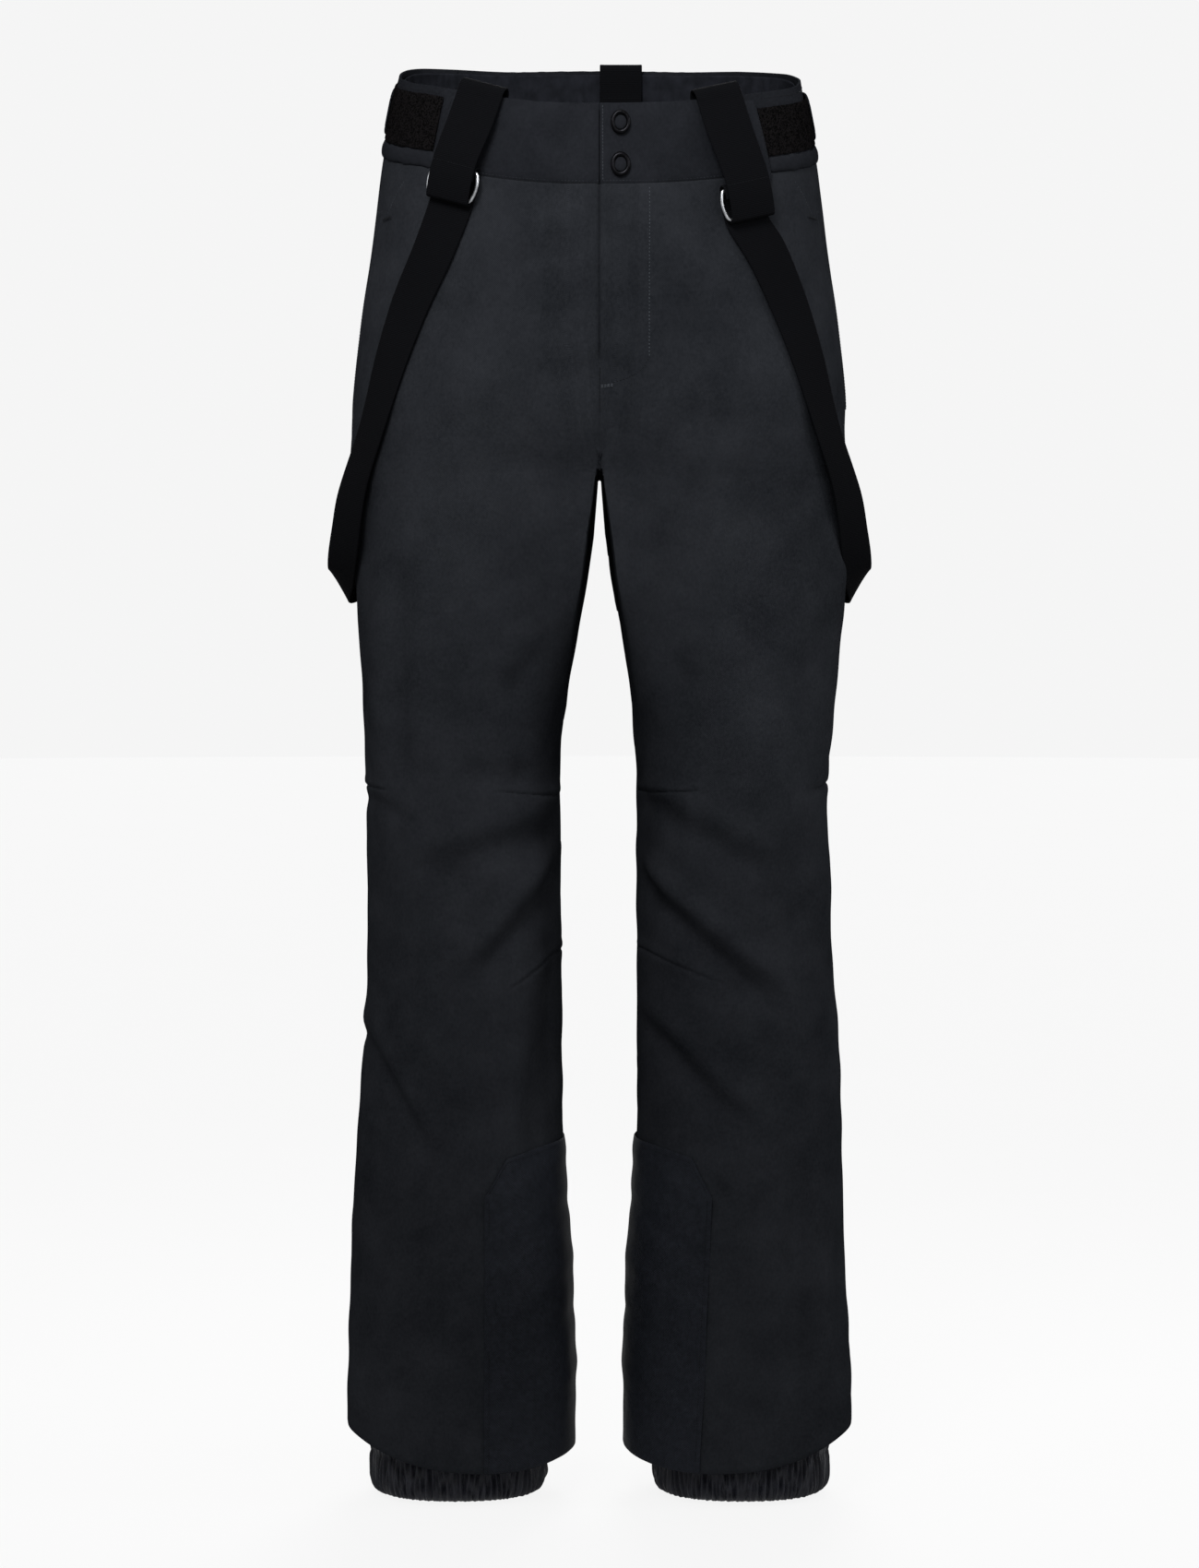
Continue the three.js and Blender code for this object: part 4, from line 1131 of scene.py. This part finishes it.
def side_roll(name, side):
    """Rolled, corded strip under the loop patch, along the waistband's lower edge."""
    count = 120
    angle = np.linspace(float(band_front(ROLL_START[name])), math.radians(43), count)
    centre = on_band(side, angle, 6.2, 0.6)
    out = band_normal(side, angle, 3)
    up = unit(np.cross(slopes(centre, 0, False), out))
    turn = np.linspace(0, 2 * np.pi, 28, endpoint=False)
    ends = np.sqrt(np.clip(1 - np.abs(np.linspace(-1, 1, count)) ** 40, 0, 1))
    waves = 1 + 0.06 * np.sin(angle * 31) + 0.04 * np.sin(angle * 57 + 1)
    tall = (6.2 * ends * waves)[:, None, None]
    deep = (2.4 * ends)[:, None, None]
    roll = centre[:, None] + up[:, None] * np.cos(turn)[None, :, None] * tall
    roll = roll + out[:, None] * np.sin(turn)[None, :, None] * deep
    trim(closed_grid(f"waist_roll_{name}", roll, sharp=80), BAND)


def belt_loops():
    """Narrow strips over the band, one in front of each strap and one behind each hip."""
    for name, side in SIDES.items():
        places = {"front": (-1, *BELT_LOOP_FRONT[name]), "back": (1, 70, 70)}
        for where, (facing, top_x, low_x) in places.items():
            t, s = grid_of(steps_between(0, 1, 60, 0.004), steps_between(-1, 1, 9, 0.06))
            x = lerp(low_x, top_x, t) + 5 * s
            angle = angle_at(facing, x, np.full(x.shape, BAND_SEAM))
            arch = 3.1 + 2 * np.sqrt(np.clip(np.sin(np.pi * t), 0, 1))
            height = lerp(-6, 57, t)
            points = on_band(side, angle, height, arch)
            normal = band_normal(side, angle, height)
            made = cloth(f"belt_loop_{where}_{name}_cloth", points, 1.1, normal, roll=0.45)
            stands_for(made, f"belt_loop_{where}_{name}", BAND)
            declare(points)
            sew(f"belt_loop_stitches_{where}_{name}", column_rows(points, normal, (2, -3), 3, 0.05),
                thread=DARK_THREAD_AND_SEAM_SHADE, length=1.8, width=0.4, height=0.3)


# ---- Fly ----

def fly_guard():
    """Cloth behind the zip, between it and the wearer."""
    t, x = grid_of(steps_between(0, 1, 50, 0.004), steps_between(-26, 37, 44, 0.5))
    depth = lerp(4.2, 13, smoothstep(x, -24, -6))
    high = band_seam(1, band_front(np.abs(x))) - 2
    z = lerp(FLY["bottom"] + 2, high, t)
    points = skin_at(1, -1, np.abs(x), z, -depth)
    points[..., 0] *= np.where(x < 0, -1, 1)
    made = cloth("fly_guard_cloth", points, 1.6, FORWARD)
    stands_for(made, "fly_guard", LINING)
    declare(points)


def zip_frame():
    """The zip's lower end and its three directions. It runs along the line its slider takes."""
    slide = next(j for j in frame["record"]["behaviour"]["joints"] if j["name"] == "zip_slide")
    up = -unit(np.array(slide["axis"], float))
    high = skin_at(1, -1, FLY["zip"], FLY["bottom"] + 4.0 + FLY["length"], 0.0)
    right = np.array([1.0, 0, 0])
    return high - up * FLY["length"], right, unit(np.cross(up, right)), up


def zip_tapes():
    low, right, inward, up = zip_frame()
    for name, way in (("right", -1), ("left", 1)):
        x = steps_between(3.2, 20, 16, 0.3)[None, :, None]
        z = steps_between(4, FLY["length"], 60, 0.4)[:, None, None]
        points = low + right * way * x + inward * 8.1 + up * z
        made = cloth(f"zip_tape_{name}_cloth", points, 1.1, -inward)
        stands_for(made, f"zip_tape_{name}", ELASTIC)
        declare(points)
        line = low + right * way * 2.0 + inward * 8.7 + up * np.linspace(4, FLY["length"], 50)[:, None]
        sew(f"zip_teeth_{name}", [(line, np.repeat(-inward[None], 50, 0))], slot="zip_metal",
            thread=ZIP_METAL, length=3.0, pitch=2.0, width=1.25, height=1.7, across=True)


def zip_metalwork():
    """The slider, its pull and the bottom stop keep their CAD shape, with softened edges."""
    for node in ("zip_slider", "zip_pull", "zip_bottom_stop"):
        piece = frame["nodes"][node]
        finish_piece(piece, ZIP_METAL)
        bevel = piece.modifiers.new("soft_edges", "BEVEL")
        bevel.width = 0.0002
        bevel.segments = 2


def lathe(name, outline, place, out, wide=1.0, tall=1.0, closed=False, sides=56):
    """Turns (radius, height) points round the axis `out` at a place on the garment."""
    across = unit(np.cross(np.array([0, 0, 1.0]), out))
    up = np.cross(out, across)
    turn = np.linspace(0, 2 * np.pi, sides, endpoint=False)
    radius, height = np.array(outline, float).T
    ring = (across * np.cos(turn)[:, None] * wide + up * np.sin(turn)[:, None] * tall)
    points = place + ring[None] * radius[:, None, None] + out * height[:, None, None]
    return closed_grid(name, points, wrap_rows=closed)


def round_profile(centre, wide, tall, start, stop, count):
    """Part of an ellipse in a (radius, height) outline, from one angle to another."""
    turn = np.radians(np.linspace(start, stop, count))
    return [(centre[0] + wide * math.cos(t), centre[1] + tall * math.sin(t)) for t in turn]


SNAP_OVAL = (0.95, 1.17)


def snap_beads(which, place, out):
    """A ring of small beads round the rim of a snap cap."""
    count, radius = 90, 6.3
    turn = np.linspace(0, 2 * np.pi, count)[:, None]
    sideways = unit(np.cross([0, 0, 1.0], out))
    path = (place + out * 3.1 + sideways * np.cos(turn) * radius * SNAP_OVAL[0]
            + np.array([0, 0, 1.0]) * np.sin(turn) * radius * SNAP_OVAL[1])
    sew(f"snap_beads_{which}", [(path, np.repeat(out[None], count, 0))], "fly_flap", SNAP_BLACK,
        slot="snap_black", length=1.1, pitch=1.25, width=0.5, height=0.5, across=True)


def snaps():
    """Two snaps at the end of the band: cap, cloth centre and socket, and a stud behind."""
    rim = round_profile((6.35, 1.6), 1.65, 1.75, -25, 205, 18)
    cap = [(4.7, 0.7), (7.9, 0.7)] + rim
    dome = [(0, 0.3), (4.9, 0.3), (4.9, 1.2), (4.2, 1.75), (2.5, 1.95), (0, 2.0)]
    socket = [(2.6, -4.7), (6.1, -4.7), (6.4, -4.4), (6.4, -3.5), (6.0, -3.1), (2.6, -3.1)]
    stud = [(0, -6.6), (5.6, -6.6), (6, -6.4), (6, -6.1), (5.6, -5.9), (2.3, -5.9), (1.8, -5.6),
            (2.1, -4.6), (1.6, -4.1), (0, -4.1)]
    for which in ("upper", "lower"):
        z = float(SNAP[which])
        angle = angle_at(-1, SNAP["x"], z)
        place, out = bare(1, angle, z), outward(1, angle, z)
        made = lathe(f"snap_ring_{which}", cap, place, out, *SNAP_OVAL, closed=True)
        stands_for(made, f"snap_cap_{which}", SNAP_BLACK)
        centre = lathe(f"snap_centre_{which}", dome, place, out, *SNAP_OVAL)
        trim(centre, BAND, "fly_flap")
        made = lathe(f"snap_socket_{which}_ring", socket, place, out, closed=True)
        stands_for(made, f"snap_socket_{which}", STEEL)
        made = lathe(f"snap_stud_{which}_post", stud, place, out)
        stands_for(made, f"snap_stud_{which}", STEEL)
        snap_beads(which, place, out)


# ---- Pockets ----

WELT_SPREAD = 0.1
WELT_ANGLES = (math.radians(2), math.radians(-12))


def pocket_welt(name, side):
    t, s = grid_of(steps_between(0, 1, 90, 0.004), steps_between(0, 1, 12, 0.03))
    angle = lerp(*WELT_ANGLES, t) - s * WELT_SPREAD
    z = lerp(868, 1022, t)
    normal = outward(side, angle, z)
    points = skin(side, angle, z, 0.7)
    made = cloth(f"pocket_welt_{name}_cloth", points, 1.3, normal, roll=0.45)
    stands_for(made, f"pocket_welt_{name}", SHELL)
    declare(points)
    sew(f"pocket_welt_stitches_{name}", column_rows(points, normal, (3, -4), 2, 0.05),
        thread=DARK_THREAD_AND_SEAM_SHADE, width=0.4, height=0.3)


def pocket_bag(name, side):
    t, s = grid_of(steps_between(0, 1, 40, 0.004), steps_between(0, 1, 30, 0.01))
    angle, z = lerp(math.radians(-12), math.radians(-52), s), lerp(800, 1018, t)
    draft = skin(side, angle, z, -CLOTH - 2.1)
    normal = outward(side, angle, z)
    lift = wavy(draft, 61, 0.35, 50)
    bag = cloth(f"pocket_bag_{name}_cloth", draft + normal * lift[..., None], 1.6, normal)
    stands_for(bag, f"pocket_bag_{name}", LINING)
    declare(draft)


def pockets():
    for name, side in SIDES.items():
        pocket_welt(name, side)
        pocket_bag(name, side)


# ---- Suspenders ----

def flat_frame(place, down, out):
    level = unit(down - out * (down @ out))
    return place, level, out, unit(np.cross(level, out))


def frame_edge(base, across, down, out):
    place, level, normal, beside = base
    return place + beside * across + level * down + normal * out


def strap_edges(stops, width):
    return [[frame_edge(base, half, down, out) for base, down, out in stops]
            for half in (-width / 2, width / 2)]


def wrap(base, down, turn, radius):
    """Stops that carry a strap half round a ring bar, from its outer to its inner side."""
    angles = np.radians([0, 45, 90, 135, 180])
    return [(base, down + radius * math.sin(a) * turn, RING["standoff"] + radius * math.cos(a))
            for a in angles]


# How far each hanger strap has slid along its ring
FOLD_SHIFT = {"right": 0.0, "left": -1.6}
SNUG = RING["wire"] + 0.9 + WEBBING["thickness"] / 2
LOOSE = RING["wire"] + RING["play"] + WEBBING["thickness"] / 2


def hanger_frames(side, name):
    rim_z = float(band_seam(side, band_front(HANGER["rim_x"]))) + BAND_HEIGHT + 0.5
    fold_z = float(HANGER[name])
    rim_angle, fold_angle = angle_at(-1, HANGER["rim_x"], rim_z), angle_at(-1, HANGER["fold_x"], fold_z)
    rim_place, fold_place = bare(side, rim_angle, rim_z), bare(side, fold_angle, fold_z)
    down = unit(fold_place - rim_place)
    return (flat_frame(rim_place, down, outward(side, rim_angle, rim_z)),
            flat_frame(fold_place, down, outward(side, fold_angle, fold_z)))


def ribbon(name, left, right, steps, columns=15):
    """A flat strap between two edges, with a slightly thicker selvedge."""
    a, b = curve_through(left, steps), curve_through(right, steps)
    s = steps_between(0, 1, columns, 0.012)[None, :, None]
    middle = lerp(a[:, None], b[:, None], s)
    normal = unit(np.cross(slopes(middle, 1, False), slopes(middle, 0, False)))
    edge = np.minimum(s[..., 0], 1 - s[..., 0]) * WEBBING["width"]
    thick = WEBBING["thickness"] * (1 + 0.16 * np.exp(-((edge - 1.6) / 0.9) ** 2))
    points = middle + normal * (thick / 2)[..., None]
    made = cloth(name, points, np.broadcast_to(thick, points.shape[:2]), None, roll=0.38)
    return made, middle, normal


def ring(name, base, height, node):
    """A bent wire ring. Its first bar is at `down` 0 and its second `height` further."""
    half_width, wire = RING["half_width"], RING["wire"]
    half = half_width - RING["bulge"]
    outline = [(-half, 0), (-half / 3, 0), (half / 3, 0), (half, 0), (half_width, height * 0.2),
               (half_width + 1, height * 0.5), (half_width, height * 0.8)]
    outline += [(-x, height - y) for x, y in outline]
    path = curve_through([frame_edge(base, x, y, RING["standoff"]) for x, y in outline], 160, True)
    flat = base[2]
    out = unit(np.cross(slopes(path, 0, True), flat))
    turn = np.linspace(0, 2 * np.pi, 16, endpoint=False)
    points = path[:, None] + wire * (
        out[:, None] * np.cos(turn)[None, :, None] + flat * np.sin(turn)[None, :, None])
    made = closed_grid(name, points, wrap_rows=True, sharp=80)
    stands_for(made, node, STEEL)


def webbing_stitches(name, middle, normal, at, both=False):
    """Stitch rows across a strap at shares of its length."""
    offset = WEBBING["thickness"] / 2 + 0.12
    rows = []
    for share in at:
        k = int(share * (len(middle) - 1))
        for way in ((1, -1) if both else (1,)):
            rows.append((middle[k, 2:-2] + way * normal[k, 2:-2] * offset, way * normal[k, 2:-2]))
    sew(name, rows, thread=DARK_THREAD_AND_SEAM_SHADE, slot="strap_webbing", length=2.0, pitch=2.6, width=0.45, height=0.4)


def strap_piece(node, edges, steps):
    """A strap between two edges."""
    made, middle, normal = ribbon(f"{node}_strap", *edges, steps)
    stands_for(made, node, STRAP)
    declare(middle)
    return middle, normal


def front_webbing(name, rim, fold):
    """The short webbing over the band's rim, down to its ring and back up behind."""
    place, level, out, beside = fold
    fold = (place + beside * FOLD_SHIFT[name], level, out, beside)
    stops = [(rim, 42, -8), (rim, 24, -8), (rim, 6, -8), (rim, -5, -6.5), (rim, -9, -2),
             (rim, -6, 3), (rim, 5, 4.6), (rim, 22, 7), (fold, -32, 12), (fold, -24, 12.8),
             (fold, -14, 12.6), *wrap(fold, 0, 1, SNUG), (fold, -6, RING["standoff"] - SNUG)]
    middle, normal = strap_piece(f"front_webbing_{name}", strap_edges(stops, WEBBING["width"]), 260)
    webbing_stitches(f"front_webbing_stitches_{name}", middle, normal, [8.35 / 15], both=True)


# A long strap's route: (x, height) down the front, then its outer and inner edge where it
# hangs free round the hip, then (x, height, clearance) up over the seat
STRAP_FRONT = ((127, 985), (145, 945), (159, 905), (175, 850))
STRAP_FREE = (
    ((205, -42, 800), (181, -72, 803)), ((210, -34, 775), (186, -62, 776)),
    ((214, -22, 754), (190, -44, 748)), ((215, -12, 744), (195, -14, 727)),
    ((213, 6, 744), (199, 16, 715)),
)
STRAP_BACK = ((176, 748, 3.4), (150, 772, 5.5), (112, 822, 7.0), (72, 890, 6.5), (42, 962, 5.0),
              (26, 1030, 3.4), (24, 1060, 3.4))


def across_strap(side, facing, centre, along):
    """Half the strap's width, square to its run and flat on the cloth under it."""
    out = outward(side, angle_at(facing, abs(centre[0]), centre[2]), centre[2])
    return unit(np.cross(along, out)) * (WEBBING["width"] / 2)


def suspender_strap(name, side, fold):
    """A long strap from its ring, down over the hip, round the side and up over the seat."""
    bar = -RING["height"]
    stops = [(fold, 7 + bar, RING["standoff"] + LOOSE), *wrap(fold, bar, -1, LOOSE),
             (fold, -9, 1.6), (fold, 4, 1.6)]
    left, right = strap_edges(stops, WEBBING["width"])
    inner, outer = (right, left) if side > 0 else (left, right)
    front = [fold[0] + fold[1] * 4]
    front += [skin_at(side, -1, x, float(z), 2.2) for x, z in STRAP_FRONT]
    for i in range(1, len(front)):
        along = front[min(i + 1, len(front) - 1)] - front[i - 1]
        half = across_strap(side, -1, front[i], along)
        half = half if np.sign(half[0]) == side else -half
        outer.append(front[i] + half)
        inner.append(front[i] - half)
    for edge, points in zip((outer, inner), zip(*STRAP_FREE)):
        edge.extend(np.array([side * x, y, z], float) for x, y, z in points)
    shift = side * BACK_TAB_X
    back = [skin_at(side, 1, x + shift * smoothstep(z, 900, 1030), float(z), lift)
            for x, z, lift in STRAP_BACK]
    for i, centre in enumerate(back):
        along = unit(back[min(i + 1, len(back) - 1)] - back[max(0, i - 1)])
        half = across_strap(side, 1, centre, along)
        if half[2] + np.sign(half[0]) * side * 0.4 < 0:
            half = -half
        outer.append(centre + half)
        inner.append(centre - half)
    strap_piece(f"suspender_strap_{name}", (outer, inner), 620)


def back_frame(z):
    angle = angle_at(1, 0, z)
    place = bare(1, angle, z)
    place[0] = BACK_TAB_X
    return flat_frame(place, np.array([0, 0, -1.0]), outward(1, angle, z))


def back_suspender():
    """Webbing over the back of the band, its ring, and the patch that joins both long straps."""
    rim = back_frame(float(band_seam(1, np.pi / 2)) + BAND_HEIGHT)
    bar = back_frame(1115.5)
    standoff = RING["standoff"]
    stops = [(rim, 40, -9), (rim, 22, -9), (rim, 4, -9), (rim, -2.6, -8), (rim, -4.4, -3.5),
             (rim, -2.6, 1), (rim, 4, 3.4), (bar, -12, 9.4), *wrap(bar, 0, 1, SNUG),
             (bar, -8, standoff - SNUG)]
    middle, normal = strap_piece("back_webbing", strap_edges(stops, BACK_WEBBING_WIDTH), 220)
    webbing_stitches("back_webbing_stitches", middle, normal, [0.08, 6.3 / 13])
    ring("back_ring_wire", bar, RING["height"], "back_ring")
    stops = [(bar, RING["height"] + 9, standoff - LOOSE), *wrap(bar, RING["height"], -1, LOOSE)[::-1]]
    left, right = strap_edges(stops, WEBBING["width"])
    for down, half in ((34, 20), (48, 30), (66, 40), (86, 44)):
        left.append(frame_edge(bar, -half, down, 8.6))
        right.append(frame_edge(bar, half, down, 8.6))
    middle, normal = strap_piece("back_patch", (left, right), 180)
    webbing_stitches("back_patch_stitches", middle, normal, [0.52, 0.62, 0.97])


def suspenders():
    for name, side in SIDES.items():
        rim, fold = hanger_frames(side, name)
        ring(f"strap_ring_{name}_wire", fold, -RING["height"], f"strap_ring_{name}")
        front_webbing(name, rim, fold)
        suspender_strap(name, side, fold)
    back_suspender()


# ---- Sewing ----

def shell_row(side, facing, stops, count=60, proud=0.12):
    """A stitch row over the shell through (x, z) stops, following its folds."""
    where, at = np.linspace(0, 1, count), np.linspace(0, 1, len(stops))
    x, z = (np.interp(where, at, values) for values in zip(*stops))
    angle = angle_at(facing, x, z)
    normal = outward(side, angle, z)
    draft = bare(side, angle, z)
    relief = shell_relief(SIDE_NAME[side], facing, draft, np.abs(angle) / section(z)[4])
    points = draft + normal * relief[:, None]
    if facing < 0:
        fill_crotch(points, side)
    return points + normal * proud, normal


def edge_row(side, facing, distance, low, high, count=300):
    """A stitch row beside a side seam, a distance round the leg from it."""
    z = np.linspace(low, high, count)
    angle = facing * distance / section(z)[2]
    draft = bare(side, angle, z)
    normal = outward(side, angle, z)
    relief = shell_relief(SIDE_NAME[side], facing, draft, np.abs(angle) / section(z)[4])
    return draft + normal * (relief + 0.12)[:, None], normal


def band_line(side, angle, height):
    """A stitch row over the waistband through given angles and heights."""
    draft = on_band(side, angle, height, 0.0)
    normal = band_normal(side, angle, height)
    return draft + normal * (band_relief(draft, angle, height) + 0.12)[:, None], normal


def band_row(side, start, stop, height, count=120):
    return band_line(side, np.linspace(start, stop, count), np.full(count, float(height)))


def band_sewing():
    """Rows on the band: along its lower seam and round the overlapping end."""
    middle, fold = float(band_front(GAP)), float(band_front(FLY["fold"]))
    seam_stop = -BAND_SIDE_SEAM - 0.01

    def front_rows(height):
        return [band_row(-1, middle, seam_stop, height), band_row(1, fold, seam_stop, height)]

    sew("waistband_stitches_front", front_rows(2.6), width=0.7, height=0.5, length=1.5, pitch=2.7)
    # An unbroken dark line of thread shapes right on the band's lower seam: painted shade that darkens the
    # seam groove.
    sew("waistband_seam_painted_shade", front_rows(0.7), thread=DARK_THREAD_AND_SEAM_SHADE, width=0.8, height=0.5, length=2.6)
    rows = [band_row(1, float(band_front(2.0)), fold, 2.8)]
    heights = np.linspace(3, BAND_HEIGHT - 2, 60)
    rows.append(band_line(1, band_front(np.full(60, 2.5)), heights))
    sew("overlap_tab_stitches", rows, "fly_flap", bend=fly_bend(), width=0.5)


def fly_sewing():
    """Rows on the front: beside the fly and round its foot, the bar tack and the centre seam."""
    x, low = FLY["stitch"], FLY["stitch_low"]
    top = float(band_seam(1, band_front(x))) - 3
    sew("fly_stitches", [shell_row(1, -1, [(x, low), (x, top)], 140)], "fly_flap",
        bend=fly_bend(), width=0.6, height=0.45, length=1.5, pitch=2.7)
    curve = [(37.6, 902), (34, 895), (28, 890), (20, 886), (11, 883.5)]
    sew("fly_curve_stitches", [shell_row(1, -1, curve)], thread=DARK_THREAD_AND_SEAM_SHADE, width=0.45, height=0.3)
    tack = [shell_row(1, -1, [(0.8, 880.6 + dz), (10, 881.4 + dz)], 12) for dz in (-0.6, 0.6)]
    sew("fly_bar_tack", tack, length=2.2, width=0.7)
    # Dark thread laid end to end down the front centre seam. It is partly seam thread and partly painted
    # shade that darkens the seam groove.
    stops = [(0.2, CROTCH_HEIGHT + 2), (0.2, FLY["bottom"] + 12)]
    sew("front_seam_thread_and_shade", [shell_row(1, -1, stops, 90, proud=0.35)], thread=DARK_THREAD_AND_SEAM_SHADE,
        width=0.7, height=0.4, length=2.6)


def sewing():
    """Top-stitching that lies on more than one piece, or on a piece's own folds."""
    band_sewing()
    fly_sewing()
    fine = {"thread": DARK_THREAD_AND_SEAM_SHADE, "width": 0.42, "height": 0.3}
    for name, side in SIDES.items():
        slash = shell_row(side, -1, [(151, 1042), (158, 1032), (165, 1018)])
        sew(f"pocket_top_stitches_{name}", [slash], width=0.5)
        tack = shell_row(side, -1, [(161, 1015), (168, 1014)], 12, proud=1.9)
        sew(f"pocket_bar_tack_{name}", [tack], thread=DARK_THREAD_AND_SEAM_SHADE, length=1.8, pitch=0.8, width=0.6,
            across=True)
        sew(f"side_seam_stitches_{name}", [edge_row(side, 1, d, 62, 1035) for d in (3.5, 9.5)], **fine)
        band = band_row(side, -BAND_SIDE_SEAM + 0.02, BAND_SIDE_SEAM - 0.02, 57)
        sew(f"band_top_stitches_{name}", [band], **fine)
        sew(f"seat_seam_stitches_{name}", [shell_row(side, 1, [(3.2, 850), (3.2, 1070)], 200)], **fine)


# ---- Studio ----

def aim(thing, target):
    way = Vector(target) - thing.location
    thing.rotation_euler = way.to_track_quat("-Z", "Y").to_euler()


def camera():
    data = bpy.data.cameras.new("camera")
    made = bpy.data.objects.new("camera", data)
    bpy.context.scene.collection.objects.link(made)
    made.location = (0, -3.0, -0.400)
    aim(made, (0, 0, -0.549))
    data.lens = 86.5
    data.sensor_width = 36
    bpy.context.scene.camera = made


def area_light(name, place, target, size, power, spread):
    data = bpy.data.lights.new(name, "AREA")
    data.shape = "RECTANGLE"
    data.size, data.size_y = size
    data.energy = power
    data.spread = math.radians(spread)
    made = bpy.data.objects.new(name, data)
    bpy.context.scene.collection.objects.link(made)
    made.location = place
    aim(made, target)


def studio():
    world = bpy.data.worlds.new("studio")
    bpy.context.scene.world = world
    world.use_nodes = True
    background = world.node_tree.nodes["Background"]
    background.inputs["Color"].default_value = (0.914, 0.914, 0.914, 1)
    background.inputs["Strength"].default_value = 1.0
    area_light("key", (-0.35, -1.45, 0.85), (0, 0, -0.02), (0.7, 0.7), 9.2, 60)
    area_light("fill", (1.1, -1.6, 0.35), (0.1, 0, -0.15), (0.6, 0.6), 1.7, 70)
    area_light("side_right", (-2.0, -0.4, 0.4), (0, 0, -0.35), (0.6, 1.2), 2.2, 100)
    area_light("side_left", (2.0, -0.4, 0.4), (0, 0, -0.35), (0.6, 1.2), 7.5, 100)
    area_light("back", (0.3, 2.6, 1.1), (0, 0, -0.45), (1.4, 1.4), 15, 70)
    bpy.context.scene.view_settings.view_transform = "Standard"


def floor():
    """A large pale disc just under the cuffs, lit from inside like a light table."""
    turn = np.linspace(0, 2 * np.pi, 96, endpoint=False)
    low = (GAITER["bottom"] - 2 - WAIST_HEIGHT) / 1000
    circle = np.stack([np.cos(turn), np.sin(turn), 0 * turn], -1)
    drop = WAIST_HEIGHT + (low - 0.0015) * 1000
    rings = [circle * radius + (0, 0, drop - depth)
             for radius, depth in ((0, 0), (400, 0), (14000, 0), (14000, 20), (0, 20))]
    made = closed_grid("floor", np.array(rings), sharp=30)
    paper = Finish("floor_paper", 0.9, 0.1)
    grain = paper.noise(paper.object_place(), 3, 2)
    paper.shade(grain, 0.3, (0.03, 0.03, 0.03, 1), 0.7, (0.032, 0.032, 0.032, 1))
    paper.set("Emission Color", (0.878, 0.878, 0.878, 1))
    paper.set("Emission Strength", 1.0)
    made.data.materials.append(paper.material)


camera()
studio()
floor()
shell_panels()
kick_patches()
gaiters()
waistband()
adjusters()
belt_loops()
fly_guard()
zip_tapes()
zip_metalwork()
snaps()
pockets()
suspenders()
sewing()
